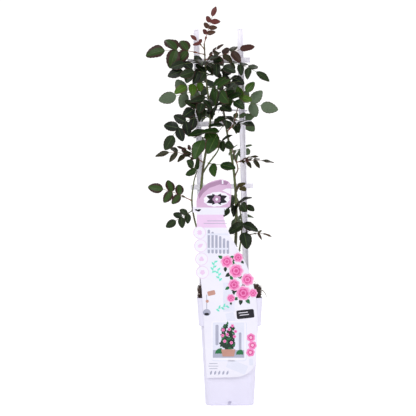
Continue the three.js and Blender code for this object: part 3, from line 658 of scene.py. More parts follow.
def intoTrellis(name, node, box, faces, rib, groove, segments):
    # a bar with sunk faces, those at -1 in front and those at 1 behind
    piece = boxAt(name, *box)
    for facing in faces:
        selectFaces(piece, lambda _, normal: normal.y * facing > 0.9)
        bpy.ops.mesh.inset(thickness=rib * mm)
        inwards = {"value": (0, -facing * groove * mm, 0)}
        bpy.ops.mesh.extrude_region_move(TRANSFORM_OT_translate=inwards)
        closeMesh()
    modify(piece, "BEVEL", width=trellis["edge"] * mm, segments=segments, limit_method="ANGLE")
    piece.data.transform(trellisFrame)
    wear(piece, trellisWhite)
    return finish(piece, "trellis_plastic", [node])


for side, word in ((-1, "Left"), (1, "Right")):
    names = "upright" + word, "trellis_upright_" + word.lower()
    intoTrellis(*names, uprightBox(side), (-1, 1), trellis["rib"], trellis["groove"], 2)
for number in range(trellis["rungs"]):
    names = [word + str(number + 1) for word in ("rung", "trellis_rung_")]
    intoTrellis(*names, rungBox(number), (-1,), trellis["rungRib"], trellis["rungGroove"], 3)
print("trellis ready")


# the canes, in millimetres; a side cane starts from another cane

canes = {
    "cane_left": {
        "through": [
            (-6, 4, 246), (-52, 3, 375), (-54, 2, 452), (-38, -2, 559), (-46, 0, 643), (-50, 0, 715),
        ],
        "radius": (3.4, 1.3), "look": "green",
    },
    "cane_right": {
        "through": [(7, 2, 246), (14, 0, 350), (10, 0, 452), (-6, -2, 547), (-20, 0, 635)],
        "radius": (3.4, 1.5), "look": "green",
    },
    "cane_fork": {
        "from": ("cane_left", 0.41), "through": [(-38, -6, 480), (-23, -8, 501), (-18, -9, 520)],
        "radius": (1.8, 1.2), "look": "green",
    },
    "cane_brown": {
        "from": ("cane_right", 0.49), "through": [(17, -6, 465), (13, -7, 483), (3, -9, 515)],
        "radius": (1.4, 0.9), "look": "brown",
    },
    "cane_young": {
        "from": ("cane_right", 0.73), "through": [(8, -7, 553), (13, -8, 572), (20, -8, 600)],
        "radius": (1.4, 0.9), "look": "red",
    },
    "cane_low_left": {
        "through": [(-9, -5, 245), (-58, -4, 330), (-74, -6, 391), (-71, -4, 437), (-65, -4, 459)],
        "radius": (2.2, 1.0), "look": "green",
    },
    "cane_low_right": {
        "through": [(5, -7, 245), (17, -11, 287), (25, -9, 351), (16, -9, 407)],
        "radius": (2.2, 1.0), "look": "green",
    },
}
caneForm = {
    "steps": 40, "rings": 150, "sides": 10,
    "relief": 0.07, "node": 0.22, "nodeLength": 2.2, "heel": 1.35, "intoCarrier": 0.8,
    "thornEvery": 19, "thornLength": (3.2, 5), "thornRadius": 1.1, "thornDroop": 0.45,
    "thornSwing": 0.35, "thornSides": 6,
}
tie = {
    "height": 583,
    "route": [
        (-19, -6.4), (-30, -6), (-38, -6), (-41, -1), (-37, 3.6), (-8, 9.5),
        (24, 24.8), (33.4, 25.6), (36.2, 20), (33.4, 12.4), (10, -3), (-4, -6), (-17, -6.4),
    ],
    "radius": 0.8, "strand": 0.5, "turns": 70, "rings": 560, "loose": 1.3,
    "knot": (-18, -6.8), "knotRadius": 2, "tails": [(5, -2.2, -9), (-4, -3, -7)], "tailRadius": 0.6,
    "loops": [(0.5, -1.0), (-0.7, 0.9)], "loopRadii": (1.5, 0.75),
}
stemLooks = {
    "green": ("stem_green", (92, 108, 56), (74, 66, 44)),
    "brown": ("stem_brown", (110, 78, 52), (74, 56, 40)),
    "red": ("stem_red", (140, 66, 54), (98, 74, 44)),
}
stemMaterials = {
    look: grainMaterial(
        look + "Stem", light, dark, rough=(0.35, 0.55),
        patches=170, grain=1600, stretch=(1, 1, 0.12), relief=0.35, depth=0.0004,
    )
    for look, (_, light, dark) in stemLooks.items()
}
thornRed = grainMaterial("thornRed", (134, 64, 44), (92, 42, 34), rough=(0.35, 0.5), patches=400)


def curveAt(points, share):
    # a Catmull-Rom curve whose ends run straight out
    last = len(points) - 1
    step = min(int(last * share), last - 1)
    part = last * share - step
    before = points[step - 1] if step else 2 * points[0] - points[1]
    start, end = points[step], points[step + 1]
    after = points[step + 2] if step + 2 <= last else 2 * points[last] - points[last - 1]
    leave, arrive = (end - before) / 2, (after - start) / 2
    square, cube = 3 * (end - start) - 2 * leave - arrive, 2 * (start - end) + leave + arrive
    return start + leave * part + square * part**2 + cube * part**3


def curveLine(points, steps):
    return np.array([curveAt(points, i / steps) for i in range(steps + 1)])


def curveWay(points, share):
    return unit(curveAt(points, min(1, share + 0.01)) - curveAt(points, share - 0.01))


def heading(bearing, rise):
    b, r = math.radians(bearing), math.radians(rise)
    return np.array((math.cos(b) * math.cos(r), math.sin(b) * math.cos(r), math.sin(r)))


def squareTo(direction, axis):
    return unit(direction - axis * direction.dot(axis))


def turned(direction, axis, degrees):
    angle = math.radians(degrees)
    level = axis * axis.dot(direction) * (1 - math.cos(angle))
    return direction * math.cos(angle) + np.cross(axis, direction) * math.sin(angle) + level


def startOff(cane, share, way, stem):
    # where a stem starts, just clear of the cane that carries it
    start, along = curveAt(cane["points"], share), curveWay(cane["points"], share)
    lean = along.dot(way)
    across = math.sqrt(1 - lean * lean)
    clear = 0.4
    if share == 1:
        return start + along * (clear + stem * across)
    return start + way * (between(cane["radius"], share) + clear + stem * abs(lean)) / across


for cane in canes.values():
    points = [np.array(place, float) for place in cane["through"]]
    if "from" in cane:
        carrier, share = cane["from"]
        way = unit(points[0] - curveAt(canes[carrier]["points"], share))
        points.insert(0, startOff(canes[carrier], share, way, cane["radius"][0]))
    cane["points"] = points
    cane["nodes"] = []


# the leafy shoots: each leaves its cane at a share of its length, on a bearing (0 is right, 90 is
# back) and a rise; light is the way that its leaves face; stem and leaflet are in millimetres

front, back = 270, 90
shootColumns = (
    "cane", "share", "bearing", "rise", "stem", "leaves", "leaflet", "pairs",
    "light", "tint", "seed", "sag", "petiole", "wide",
)
shootTable = {
    "tip": ("left", 1, 8, 74, 3, 1, 20, 3, (front, 20), "red", 3, 0, 0.9, 0.55),
    "tip_small": ("left", 0.97, 185, 50, 3, 1, 15, 1, (front, 30), "red", 5, 0.35, 0.55, 0.5),
    "top_left": ("left", 0.94, 180, 16, 6, 1, 37, 2, (front, 25), "rimmed", 7, 0.6, 0.75, 0.72),
    "top_right": ("left", 0.91, 350, 14, 4, 1, 28, 3, (285, 35), "bronze", 11, 0.15, 0.55, 0.58),
    "upper_right": ("left", 0.89, 352, 6, 6, 1, 30, 3, (front, 68), "dark", 13, 0.55, 1.5, 0.5),
    "upper_left": ("left", 0.86, 195, 0, 4, 1, 30, 2, (front, 35), "dark", 18, 0.7, 0.15, 0.66),
    "crown_front": ("left", 0.88, 262, 12, 9, 3, 27, 2, (front, 30), "dark", 21, 0.9, 0.3, 0.66),
    "upper_front": ("left", 0.82, 305, 15, 14, 3, 28, 2, (front, 20), "dark", 14, 1, 0.55, 0.66),
    "upper_centre": ("left", 0.76, 292, 5, 12, 2, 35, 2, (front, 10), "mid", 19, 1.3, 0.55, 0.66),
    "upper_bright": ("left", 0.79, 205, -5, 5, 1, 26, 2, (front, 30), "bright", 20, 0.8, 0.3, 0.66),
    "pale_left": ("left", 0.76, 178, -14, 10, 1, 34, 2, (back, 20), "pale", 23, 0.2, 0.3, 0.66),
    "young": ("young", 1, 350, 55, 3, 1, 24, 1, (front, 20), "bright", 44, 0.35, 0.2, 0.66),
    "pale_right": ("right", 0.9, 10, 2, 8, 1, 33, 2, (back, 5), "pale", 29, 0.6, 0.9, 0.66),
    "right_front": ("right", 0.93, 310, -10, 3, 1, 27, 2, (front, 25), "mid", 30, 0.7, 0.2, 0.66),
    "middle_left": ("left", 0.62, 184, 8, 8, 1, 31, 3, (front, 20), "dark", 31, 2.1, 0.7, 0.66),
    "middle_front": ("left", 0.66, 235, 5, 12, 2, 30, 2, (front, 30), "dark", 33, 0.9, 0.3, 0.66),
    "crown_middle": ("right", 0.985, 285, 10, 12, 3, 27, 2, (front, 25), "dark", 34, 0.9, 0.3, 0.66),
    "centre_right": ("young", 0.3, 320, 10, 3, 1, 25, 1, (front, 35), "dark", 42, 0.7, 0.2, 0.66),
    "inner_right": ("right", 0.82, 270, -5, 10, 2, 28, 2, (front, 20), "dark", 35, 0.9, 0.3, 0.66),
    "inner_left": ("left", 0.72, 255, -12, 8, 1, 28, 2, (front, 25), "dark", 36, 0.9, 0.3, 0.66),
    "centre_fork": ("fork", 1, 300, -10, 3, 1, 23, 1, (front, 10), "dark", 40, 1.2, 0.2, 0.66),
    "centre_big": ("right", 0.78, 240, -35, 3, 1, 36, 2, (front, 5), "mid", 37, 0.2, 0.15, 0.66),
    "centre_droop": ("left", 0.58, 238, -45, 4, 1, 40, 1, (front, 10), "mid", 41, 0.4, 0.15, 0.66),
    "left_twig": ("left", 0.45, 182, 34, 22, 1, 27, 2, (front, 50), "bronze", 43, 1.6, 0.6, 0.42),
    "right_narrow": ("brown", 0.6, 352, 8, 6, 1, 24, 2, (front, 60), "bronze", 47, 0.35, 0.55, 0.4),
    "lower_centre": ("fork", 0.25, 330, -5, 3, 1, 30, 1, (front, 30), "mid", 53, 0.35, 0.1, 0.66),
    "lower_fold": ("low_left", 1, 250, 30, 3, 1, 24, 1, (front, 10), "mid", 59, 1, 0.2, 0.66),
    "curled": ("right", 0.45, 300, -10, 3, 1, 18, 1, (front, 20), "brown", 61, 0.35, 0.2, 0.66),
    "low_left": ("low_left", 0.55, 180, 28, 8, 1, 29, 2, (front, 30), "rimmed", 67, 0.35, 0.55, 0.66),
    "low_left_small": ("low_left", 0.46, 186, -30, 5, 1, 22, 2, (front, 20), "dark", 71, 0.35, 0.25, 0.66),
    "low_right_tip": ("low_right", 0.97, 285, -12, 3, 1, 28, 1, (front, 10), "dark", 73, 0.7, 0.15, 0.66),
    "low_centre": ("right", 0.37, 235, -20, 3, 1, 26, 1, (front, 5), "dark", 75, 0.8, 0.3, 0.66),
    "low_right": ("low_right", 0.76, 280, -48, 3, 1, 35, 1, (front, 5), "dark", 79, 0.3, 0.3, 0.66),
    "right_twig": ("low_right", 0.57, 352, 14, 16, 1, 17, 1, (front, 65), "brown", 90, 0.9, 0.9, 0.3),
    "back_top": ("left", 0.88, 75, 12, 10, 2, 32, 1, (back, 40), "dark", 80, 0.6, 0.55, 0.66),
    "back_upper": ("right", 0.96, 60, 20, 14, 2, 36, 1, (back, 30), "dark", 81, 0.7, 0.55, 0.66),
    "back_left": ("left", 0.7, 98, -8, 30, 1, 30, 2, (back, 30), "dark", 82, 0.6, 0.55, 0.66),
    "back_right": ("right", 0.8, 50, 5, 14, 1, 31, 2, (back, 30), "mid", 83, 0.6, 0.55, 0.66),
    "back_middle": ("left", 0.53, 95, 12, 30, 2, 31, 2, (back, 25), "dark", 84, 0.6, 0.55, 0.66),
    "back_centre": ("right", 0.62, 70, 10, 12, 1, 30, 2, (back, 30), "mid", 85, 0.6, 0.55, 0.66),
    "back_low_left": ("left", 0.27, 65, 5, 20, 1, 32, 1, (back, 30), "dark", 86, 0.6, 0.55, 0.66),
    "back_low": ("right", 0.4, 100, 0, 12, 1, 28, 2, (back, 30), "dark", 87, 0.6, 0.55, 0.66),
    "back_low_right": ("right", 0.3, 80, 0, 12, 1, 28, 2, (back, 30), "mid", 88, 0.6, 0.55, 0.66),
}
growth = {
    "stemRadius": (1.1, 0.8),
    "stalkRadius": (0.8, 0.5),
    "sunk": 0.8,
    "stemSteps": 4, "stalkSteps": 4,
    "stemSag": 0.12, "stalkSag": 0.3,
    "stalkBend": 0.5, "bendSwing": 0.18, "faceSwing": 16,
    "sideTurn": 70, "sideSwing": 12, "sideRise": 0.25,
    "pairSpacing": 0.62, "firstPair": 0.78, "sizeSwing": 0.07,
    "splay": 64, "splaySwing": 9,
    "droop": 0.12, "droopSwing": 0.18, "turnSwing": 18,
    "endSize": 1.08, "endDroop": 0.1, "endTurn": 14,
    "rooms": {"limb": 1.8, "trellis": 1.5, "mass": 4},
    "fineRooms": {"limb": 1.0, "trellis": 0.8, "mass": 2.8},
    "extraLeaves": 4, "extraBehind": 9,
    "extraSize": (0.55, 0.85), "extraPetiole": 0.7,
    "extraTurn": (35, 25), "extraRise": (0.35, 0.5),
    "reachRoom": 6,
}
leafForm = {
    "swell": 0.8, "fullness": 0.75, "fold": 0.2, "curl": 0.1,
    "testRows": (0.12, 0.27, 0.42, 0.57, 0.72, 0.86, 1),
    "testSides": (-1, -0.5, 0, 0.5, 1),
    "rows": 13,
    "columns": (-1, -0.9, -0.55, -0.045, 0.045, 0.55, 0.9, 1),
    "roundness": 0.62, "bulge": 0.09, "thick": 0.4, "ribThick": 1.5,
    "tooth": 0.028, "wave": 0.03, "waves": 9,
    "foldSwing": 0.6, "curlSwing": 0.9,
    "stipule": (9, 0.24), "stipuleTurn": 14,
}


class Draws:
    # numbers that look random and are always the same for one seed
    def __init__(self, seed):
        self.state = seed * 7919 % 2**32

    def next(self):
        self.state = (self.state * 1664525 + 1013904223) % 2**32
        return self.state / 2**32

    def swing(self, size):
        return (2 * self.next() - 1) * size


# what the leaves keep clear of: lengths of cane and string, and the trellis
tiePoints = [np.array((x, y, tie["height"]), float) for x, y in tie["route"]]
shares = np.arange(caneForm["steps"]) / caneForm["steps"]
limbs = [(cane["points"], between(cane["radius"], shares)) for cane in canes.values()]
limbs.append((tiePoints, [tie["knotRadius"]] * caneForm["steps"]))
limbLines = [curveLine(points, caneForm["steps"]) for points, _ in limbs]
limbStarts = np.concatenate([line[:-1] for line in limbLines])
limbWays = np.concatenate([np.diff(line, axis=0) for line in limbLines])
limbWidths = np.concatenate([widths for _, widths in limbs])
limbSquares = (limbWays**2).sum(1)
trellisBoxes = [uprightBox(-1), uprightBox(1), *map(rungBox, range(trellis["rungs"]))]
fromTrellis = np.array(trellisFrame.to_3x3())


def blocked(points, taken, rooms):
    # whether any point is too close to a limb, the trellis or the leaves of another shoot
    points = np.array(points)
    offsets = points[:, None] - limbStarts
    shares = np.clip((offsets * limbWays).sum(2) / limbSquares, 0, 1)
    nearest = np.linalg.norm(offsets - limbWays * shares[..., None], axis=2)
    if (nearest < limbWidths + rooms["limb"]).any():
        return True
    own = (points - trellis["place"]) @ fromTrellis
    for middle, size in trellisBoxes:
        if (abs(own - middle) < np.array(size) / 2 + rooms["trellis"]).all(1).any():
            return True
    gaps = (np.linalg.norm(points[:, None] - other, axis=2).min() for other in taken)
    return any(gap < rooms["mass"] for gap in gaps)


def leafletPoint(leaflet, share, side):
    along, face, length = leaflet["along"], leaflet["face"], leaflet["length"]
    swell = math.sin(math.pi * share ** leafForm["swell"]) ** leafForm["fullness"] if share < 1 else 0
    half = leaflet["wide"] * 0.5 * length * swell
    lift = leafForm["fold"] * half * abs(side) - leafForm["curl"] * length * share**2
    across = np.cross(along, face) * half * side
    return leaflet["root"] + along * length * share + across + face * lift


def leafletGrid(leaflet):
    rows, sides = leafForm["testRows"], leafForm["testSides"]
    return [leafletPoint(leaflet, share, side) for share in rows for side in sides]


def leafletAt(point, out, faceUp, turn, length, wide):
    root, face = point - out * growth["sunk"], turned(squareTo(faceUp, out), out, turn)
    return {"root": root, "along": out, "face": face, "length": length, "wide": wide}


def growPair(rand, point, along, faceUp, size, wide):
    pair = []
    for side in (1, -1):
        across = np.cross(along, faceUp) * side
        angle = math.radians(growth["splay"] + rand.swing(growth["splaySwing"]))
        droop = growth["droop"] + growth["droopSwing"] * rand.next()
        out = unit(along * math.cos(angle) + across * math.sin(angle) - faceUp * droop)
        turn = rand.swing(growth["turnSwing"])
        length = size * (1 + rand.swing(growth["sizeSwing"]))
        pair.append(leafletAt(point, out, faceUp, turn, length, wide))
    return pair


def growLeaf(shoot, rand, base, way, size, pairs, petiole):
    # one compound leaf: its stalk, its pairs of leaflets and the one at its end
    bend = rand.swing(growth["bendSwing"])
    face = turned(squareTo(heading(*shoot["light"]), way), way, rand.swing(growth["faceSwing"]))
    along, point = way, base
    stalk = [base - way * growth["sunk"]]
    leaflets = []
    for i in range(pairs + 1):
        distance = (growth["pairSpacing"] if i else petiole) * size
        share = distance / growth["stalkSteps"] / size
        for _ in range(growth["stalkSteps"]):
            point = point + along * distance / growth["stalkSteps"]
            stalk.append(point)
            sideways = np.cross(face, along)
            sag = growth["stalkSag"] * shoot["sag"] * share
            along = unit(along - up * sag + sideways * growth["stalkBend"] * bend * share)
        if i < pairs:
            pairSize = size * between((growth["firstPair"], 1), (i + 1) / pairs)
            leaflets += growPair(rand, point, along, squareTo(face, along), pairSize, shoot["wide"])
    faceUp = squareTo(face, along)
    out = unit(along - faceUp * growth["endDroop"])
    turn = rand.swing(growth["endTurn"])
    leaflets.append(leafletAt(point, out, faceUp, turn, size * growth["endSize"], shoot["wide"]))
    tested = [base + (stalk[1] - base) * 0.6] + stalk[1:]
    return {"stalk": stalk, "tested": tested, "leaflets": leaflets}


def keepLeaf(shoot, leaf, rooms, own=False):
    # keeps a leaf that has room, and of its leaflets those that have; the others wait
    taken = [s["filled"] for s in shoots if len(s["filled"]) and (own or s is not shoot)]
    if not leaf.get("kept"):
        if blocked(leaf["tested"][3:] if own else leaf["tested"], taken, rooms):
            return
        leaf["kept"] = True
        shoot["stalks"].append(leaf["stalk"])
        if not own:
            shoot["filled"] = np.array([*shoot["filled"], *leaf["stalk"]])
    waiting = []
    for leaflet in leaf["leaflets"]:
        points = leafletGrid(leaflet)
        if blocked(points, taken, rooms):
            waiting.append(leaflet)
            continue
        shoot["leaflets"].append(leaflet)
        shoot["filled"] = np.array([*shoot["filled"], *points])
    leaf["leaflets"] = waiting


def allLeaflets():
    return sum(len(shoot["leaflets"]) for shoot in shoots)


shoots = []
for name, row in shootTable.items():
    shoot = dict(zip(shootColumns, row), name="foliage_" + name)
    shoot.update(leaflets=[], stalks=[], filled=[], grown=[])
    shoot["cane"] = canes["cane_" + shoot["cane"]]
    shoot["way"] = heading(shoot["bearing"], shoot["rise"])
    shoot["start"] = startOff(shoot["cane"], shoot["share"], shoot["way"], growth["stemRadius"][0])
    shoot["cane"]["nodes"].append(shoot["share"])
    shoots.append(shoot)

for shoot in shoots:
    rand = Draws(shoot["seed"])
    along, point = shoot["way"], shoot["start"]
    shoot["stemLine"] = [point]
    for _ in range(growth["stemSteps"]):
        point = point + along * shoot["stem"] / growth["stemSteps"]
        shoot["stemLine"].append(point)
        along = unit(along - up * growth["stemSag"] * shoot["sag"])
    for number in range(shoot["leaves"]):
        base = shoot["stemLine"][round((number + 1) / shoot["leaves"] * growth["stemSteps"])]
        way = shoot["way"]
        if number < shoot["leaves"] - 1:
            side = -1 if number % 2 else 1
            way = turned(way, up, side * growth["sideTurn"] + rand.swing(growth["sideSwing"]))
            way = unit(way + up * rand.swing(growth["sideRise"]))
        leaf = growLeaf(shoot, rand, base, way, shoot["leaflet"], shoot["pairs"], shoot["petiole"])
        shoot["grown"].append(leaf)
        keepLeaf(shoot, leaf, growth["rooms"])
for shoot in shoots:
    for leaf in shoot["grown"]:
        keepLeaf(shoot, leaf, growth["fineRooms"])
print("shoots grown,", allLeaflets(), "leaflets")

# finer growth: small young leaves from each shoot's stem, within the reach of its mass
for shoot in shoots:
    rand = Draws(shoot["seed"] + 1000)
    low, high = (np.array(corner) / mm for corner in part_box(shoot["name"]))
    (turn, turnSwing), (rise, riseSwing) = growth["extraTurn"], growth["extraRise"]
    behind = shoot["name"].startswith("foliage_back")
    for number in range(growth["extraBehind" if behind else "extraLeaves"]):
        side = -1 if number % 2 else 1
        way = turned(shoot["way"], up, side * (turn + rand.swing(turnSwing)))
        way = unit(way + up * (rise + rand.swing(riseSwing)))
        size = shoot["leaflet"] * between(growth["extraSize"], rand.next())
        base = shoot["stemLine"][1 + number % 3]
        leaf = growLeaf(shoot, rand, base, way, size, 1 + number % 2, growth["extraPetiole"])
        grid = np.array([point for leaflet in leaf["leaflets"] for point in leafletGrid(leaflet)])
        if (grid >= low - growth["reachRoom"]).all() and (grid <= high + growth["reachRoom"]).all():
            keepLeaf(shoot, leaf, growth["fineRooms"], own=True)
print("finer growth added,", allLeaflets(), "leaflets")


# one leaflet, flat: across from edge to edge, along from root to tip, and its thickness upwards

columns = leafForm["columns"]
bpy.ops.mesh.primitive_grid_add(
    x_subdivisions=len(columns) - 1, y_subdivisions=leafForm["rows"] - 1, size=2
)
pattern = added("leafletPattern")
for vertex in pattern.data.vertices:
    column = round((vertex.co.x + 1) / 2 * (len(columns) - 1))
    vertex.co = (columns[column], (vertex.co.y + 1) / 2, 0)
modify(pattern, "SOLIDIFY", thickness=1, offset=0)
patternPoints = np.array([vertex.co for vertex in pattern.data.vertices])
patternMap = np.column_stack(((patternPoints[:, 0] + 1) / 2, patternPoints[:, 1]))
patternFaces = [list(face.vertices) for face in pattern.data.polygons]
upper, under, edging, rib, margin = range(5)


def faceKind(face):
    aside = abs(face.center.x)
    if abs(face.normal.z) < 0.5 or aside > columns[-2]:
        return edging
    if face.normal.z < 0:
        return under
    if aside > columns[-3]:
        return margin
    return rib if aside < columns[-4] else upper


patternKinds = [faceKind(face) for face in pattern.data.polygons]
bpy.data.objects.remove(pattern)


def leafletShape(leaflet, rand):
    side, share, level = patternPoints.T
    row = np.round(share * (leafForm["rows"] - 1)).astype(int)
    inner = np.clip(share, 0.004, 0.996)
    swell = np.sin(np.pi * inner ** leafForm["swell"]) ** leafForm["roundness"]
    tooth = np.where(abs(side) == 1, leafForm["tooth"] * (row % 2 * 2 - 1), 0)
    length = leaflet["length"]
    half = leaflet["wide"] * 0.5 * length * swell
    fold = leafForm["fold"] * (1 + rand.swing(leafForm["foldSwing"]))
    curl = leafForm["curl"] * (1 + rand.swing(leafForm["curlSwing"]))
    phase = share * leafForm["waves"] + rand.swing(3)
    ripple = leafForm["wave"] * length * np.sin(phase) * side**2 * np.sign(side)
    bulge = leafForm["bulge"] * half * np.sin(np.pi * abs(side)) * swell
    lift = fold * half * abs(side) - curl * length * share**2 + ripple * swell + bulge
    thick = leafForm["thick"] * np.where(abs(side) < 0.1, leafForm["ribThick"], 1)
    across = np.cross(leaflet["along"], leaflet["face"])
    return (
        leaflet["root"]
        + np.outer(length * (share + 0.35 * abs(tooth) * (tooth > 0)), leaflet["along"])
        + np.outer(half * side * (1 + tooth), across)
        + np.outer(lift + thick * level, leaflet["face"])
    )


# plain colours for each kind of spray: uppers, underside, edge and midrib
tints = {
    "dark": ([(23, 36, 17), (31, 45, 20), (17, 27, 15)], (50, 64, 44), (55, 25, 25), (62, 81, 39)),
    "mid": ([(34, 60, 18), (42, 72, 22), (27, 49, 17)], (62, 81, 50), (64, 37, 29), (74, 97, 42)),
    "bright": ([(66, 97, 25), (79, 111, 32), (52, 82, 24)], (97, 116, 62), (92, 60, 37), (97, 121, 52)),
    "bronze": ([(64, 35, 30), (50, 32, 25), (40, 42, 22)], (82, 64, 52), (77, 29, 29), (77, 55, 37)),
    "red": ([(94, 44, 42), (79, 37, 35), (67, 44, 32)], (99, 67, 59), (87, 32, 34), (101, 62, 49)),
    "pale": ([(44, 59, 34), (39, 52, 29), (49, 64, 37)], (91, 106, 84), (76, 66, 55), (101, 116, 89)),
    "brown": ([(77, 55, 37), (62, 45, 32), (69, 64, 35)], (92, 77, 59), (60, 37, 29), (87, 67, 45)),
    "rimmed": ([(42, 64, 24), (48, 72, 28), (36, 56, 22)], (50, 64, 44), (55, 25, 25), (62, 81, 39)),
}
rimmedMargin = (52, 34, 27)  # rimmed leaves are greener in the middle, with a broad red margin
oddLeaf = 0.35  # how many leaflets have another green than their spray
twigLook = {"red": "red", "bronze": "red", "brown": "brown", "rimmed": "red"}


def leafMaterials(tint, uppers, underside, edge, midrib):
    made = [
        leafMaterial(tint + "Under", underside, rough=(0.55, 0.7), relief=0.5),
        leafMaterial(tint + "Edge", edge, relief=0.1),
        leafMaterial(tint + "Rib", midrib, relief=0.05),
    ]
    made += [leafMaterial(tint + "Upper" + str(i + 1), color) for i, color in enumerate(uppers)]
    return made + ([leafMaterial("rimmedMargin", rimmedMargin)] if tint == "rimmed" else [])


def stipules(shoot):
    # the two small flaps at the foot of each leaf
    for stalk in shoot["stalks"]:
        along = unit(stalk[2] - stalk[0])
        face = squareTo(heading(*shoot["light"]), along)
        for side in (-1, 1):
            way = turned(along, face, leafForm["stipuleTurn"] * side)
            yield leafletAt(stalk[1], way, face, 0, *leafForm["stipule"])


leafCount = 0
for tint, colors in tints.items():
    chosen = [shoot for shoot in shoots if shoot["tint"] == tint]
    materials = leafMaterials(tint, *colors)
    parts, kinds = [], []
    for shoot in chosen:
        rand = Draws(shoot["seed"] + 500)
        shade = 3 + int(rand.next() * 3)
        for leaflet in (*shoot["leaflets"], *stipules(shoot)):
            own = 3 + int(rand.next() * 3) if rand.next() < oddLeaf else shade
            outer = len(materials) - 1 if tint == "rimmed" else own
            slots = {upper: own, margin: outer, under: 0, edging: 1, rib: 2}
            parts.append((leafletShape(leaflet, rand), patternFaces))
            kinds += [slots[kind] for kind in patternKinds]
    leaves = gathered(tint + "Leaves", parts, *materials)
    leaves.data.polygons.foreach_set("material_index", kinds)
    leafUv = leaves.data.uv_layers.new(name="leaf")
    corners = np.zeros(len(leaves.data.loops), int)
    leaves.data.loops.foreach_get("vertex_index", corners)
    leafUv.data.foreach_set("uv", np.tile(patternMap, (len(parts), 1))[corners].ravel())
    slot = "leaf_dark" if tint == "rimmed" else "leaf_" + tint
    finish(leaves, slot, [shoot["name"] for shoot in chosen], smooth=50)
    leafCount += len(parts)
print("leaves ready,", leafCount)


# stems and leaf stalks, joined by colour

stemRadii = [1.5, 1.25, 1.05, 0.95, 0.85, 0.75]
stalkEnds = growth["stalkRadius"][0], growth["stalkRadius"][1] * 0.8
for look, (slot, _, _) in stemLooks.items():
    parts = []
    for shoot in shoots:
        if twigLook.get(shoot["tint"], "green") != look:
            continue
        carrier = curveAt(shoot["cane"]["points"], shoot["share"])
        heel = between((shoot["start"], carrier), caneForm["intoCarrier"])
        parts.append(tube([heel, *shoot["stemLine"]], stemRadii, 7))
        for stalk in shoot["stalks"]:
            radii = np.linspace(*stalkEnds, len(stalk))
            radii[:2] *= 1.25
            parts.append(tube(stalk, radii, 6))
    finish(gathered(look + "Twigs", parts, stemMaterials[look]), slot, smooth=60)


# canes with their nodes and thorns

def thornsOf(cane, length, rand):
    every = caneForm["thornEvery"]
    for i in range(1, int(length / every)):
        share = min(0.97, (i + rand.swing(caneForm["thornSwing"])) * every / length)
        along = curveWay(cane["points"], share)
        out = turned(squareTo(heading(0, 0), along), along, rand.swing(180))
        width = between(cane["radius"], share)
        root = curveAt(cane["points"], share) + out * width * 0.6
        size = between(caneForm["thornLength"], rand.next())
        bend = along * size * caneForm["thornDroop"]
        line = [root + out * size * t - bend * t * t for t in (0, 0.35, 0.7, 1)]
        radius = caneForm["thornRadius"] * min(1, width / 2.2)
        yield tube(line, [radius, radius * 0.55, radius * 0.25, 0.06], caneForm["thornSides"])


thorns = []
for name, cane in canes.items():
    rand = Draws(len(name) * 31)
    line = curveLine(cane["points"], caneForm["rings"])
    shares = np.linspace(0, 1, len(line))
    length = np.linalg.norm(np.diff(line, axis=0), axis=1).sum()
    radii = between(cane["radius"], shares)
    for place in cane["nodes"]:
        swell = np.exp(-(((shares - place) * length / caneForm["nodeLength"]) ** 2))
        radii = radii * (1 + caneForm["node"] * swell)
    radii = radii * [1 + rand.swing(caneForm["relief"]) for _ in shares]
    if "from" in cane:
        carrier, share = cane["from"]
        heel = between((line[0], curveAt(canes[carrier]["points"], share)), caneForm["intoCarrier"])
        line = np.vstack((heel, line))
        radii = np.concatenate(([radii[0] * caneForm["heel"]], radii))
    look = cane["look"]
    bark = tube(line, radii, caneForm["sides"])
    piece = gathered(name.title().replace("_", "") + "Bark", [bark], stemMaterials[look])
    finish(piece, stemLooks[look][0], [name], smooth=70)
    thorns += thornsOf(cane, length, rand)
finish(gathered("thorns", thorns, thornRed), "stem_brown", smooth=50)
print("canes ready,", len(thorns), "thorns")


# the string that ties the plant in, in two twisted strands

stringPale = grainMaterial(
    "stringPale", (206, 202, 214), (178, 174, 188), rough=(0.7, 0.9),
    patches=500, grain=3000, relief=0.5,
)
line = curveLine(tiePoints, tie["rings"])
sides = np.cross(directions(line), up)
strands = []
for start in (0, math.pi):
    angle = start + np.linspace(0, 2 * math.pi * tie["turns"], len(line))
    away = sides * np.cos(angle)[:, None] + up * np.sin(angle)[:, None]
    aside = (tie["radius"] - tie["strand"]) * tie["loose"]
    strands.append(tube(line + away * aside, tie["strand"], 5))
knotPlace = np.array((*tie["knot"], tie["height"]), float)
for end in tie["tails"]:
    tail = []
    for t in np.linspace(0, 1, 8):
        wiggle = math.sin(3 * t)
        tail.append(knotPlace + np.array(end) * t + (0, -1.2 * wiggle, 1.5 * wiggle))
    strands.append(tube(tail, tie["tailRadius"], 6))
loops = [gathered("tieString", strands, stringPale)]
major, minor = (radius * mm for radius in tie["loopRadii"])
for tilt, shift in tie["loops"]:
    bpy.ops.mesh.primitive_torus_add(
        major_segments=18, minor_segments=7, major_radius=major, minor_radius=minor,
        location=Vector(knotPlace + (shift, 0, 0)) * mm, rotation=(math.pi / 2 + tilt, tilt, 0),
    )
    loop = settle(added("knotLoop"))
    wear(loop, stringPale)
    loops.append(loop)
finish(join(loops, "tieString"), "string", ["plant_tie"], smooth=60)
print("tie ready")


# the label card: everything on it is drawn flat, in millimetres across and up, then bent to its bow

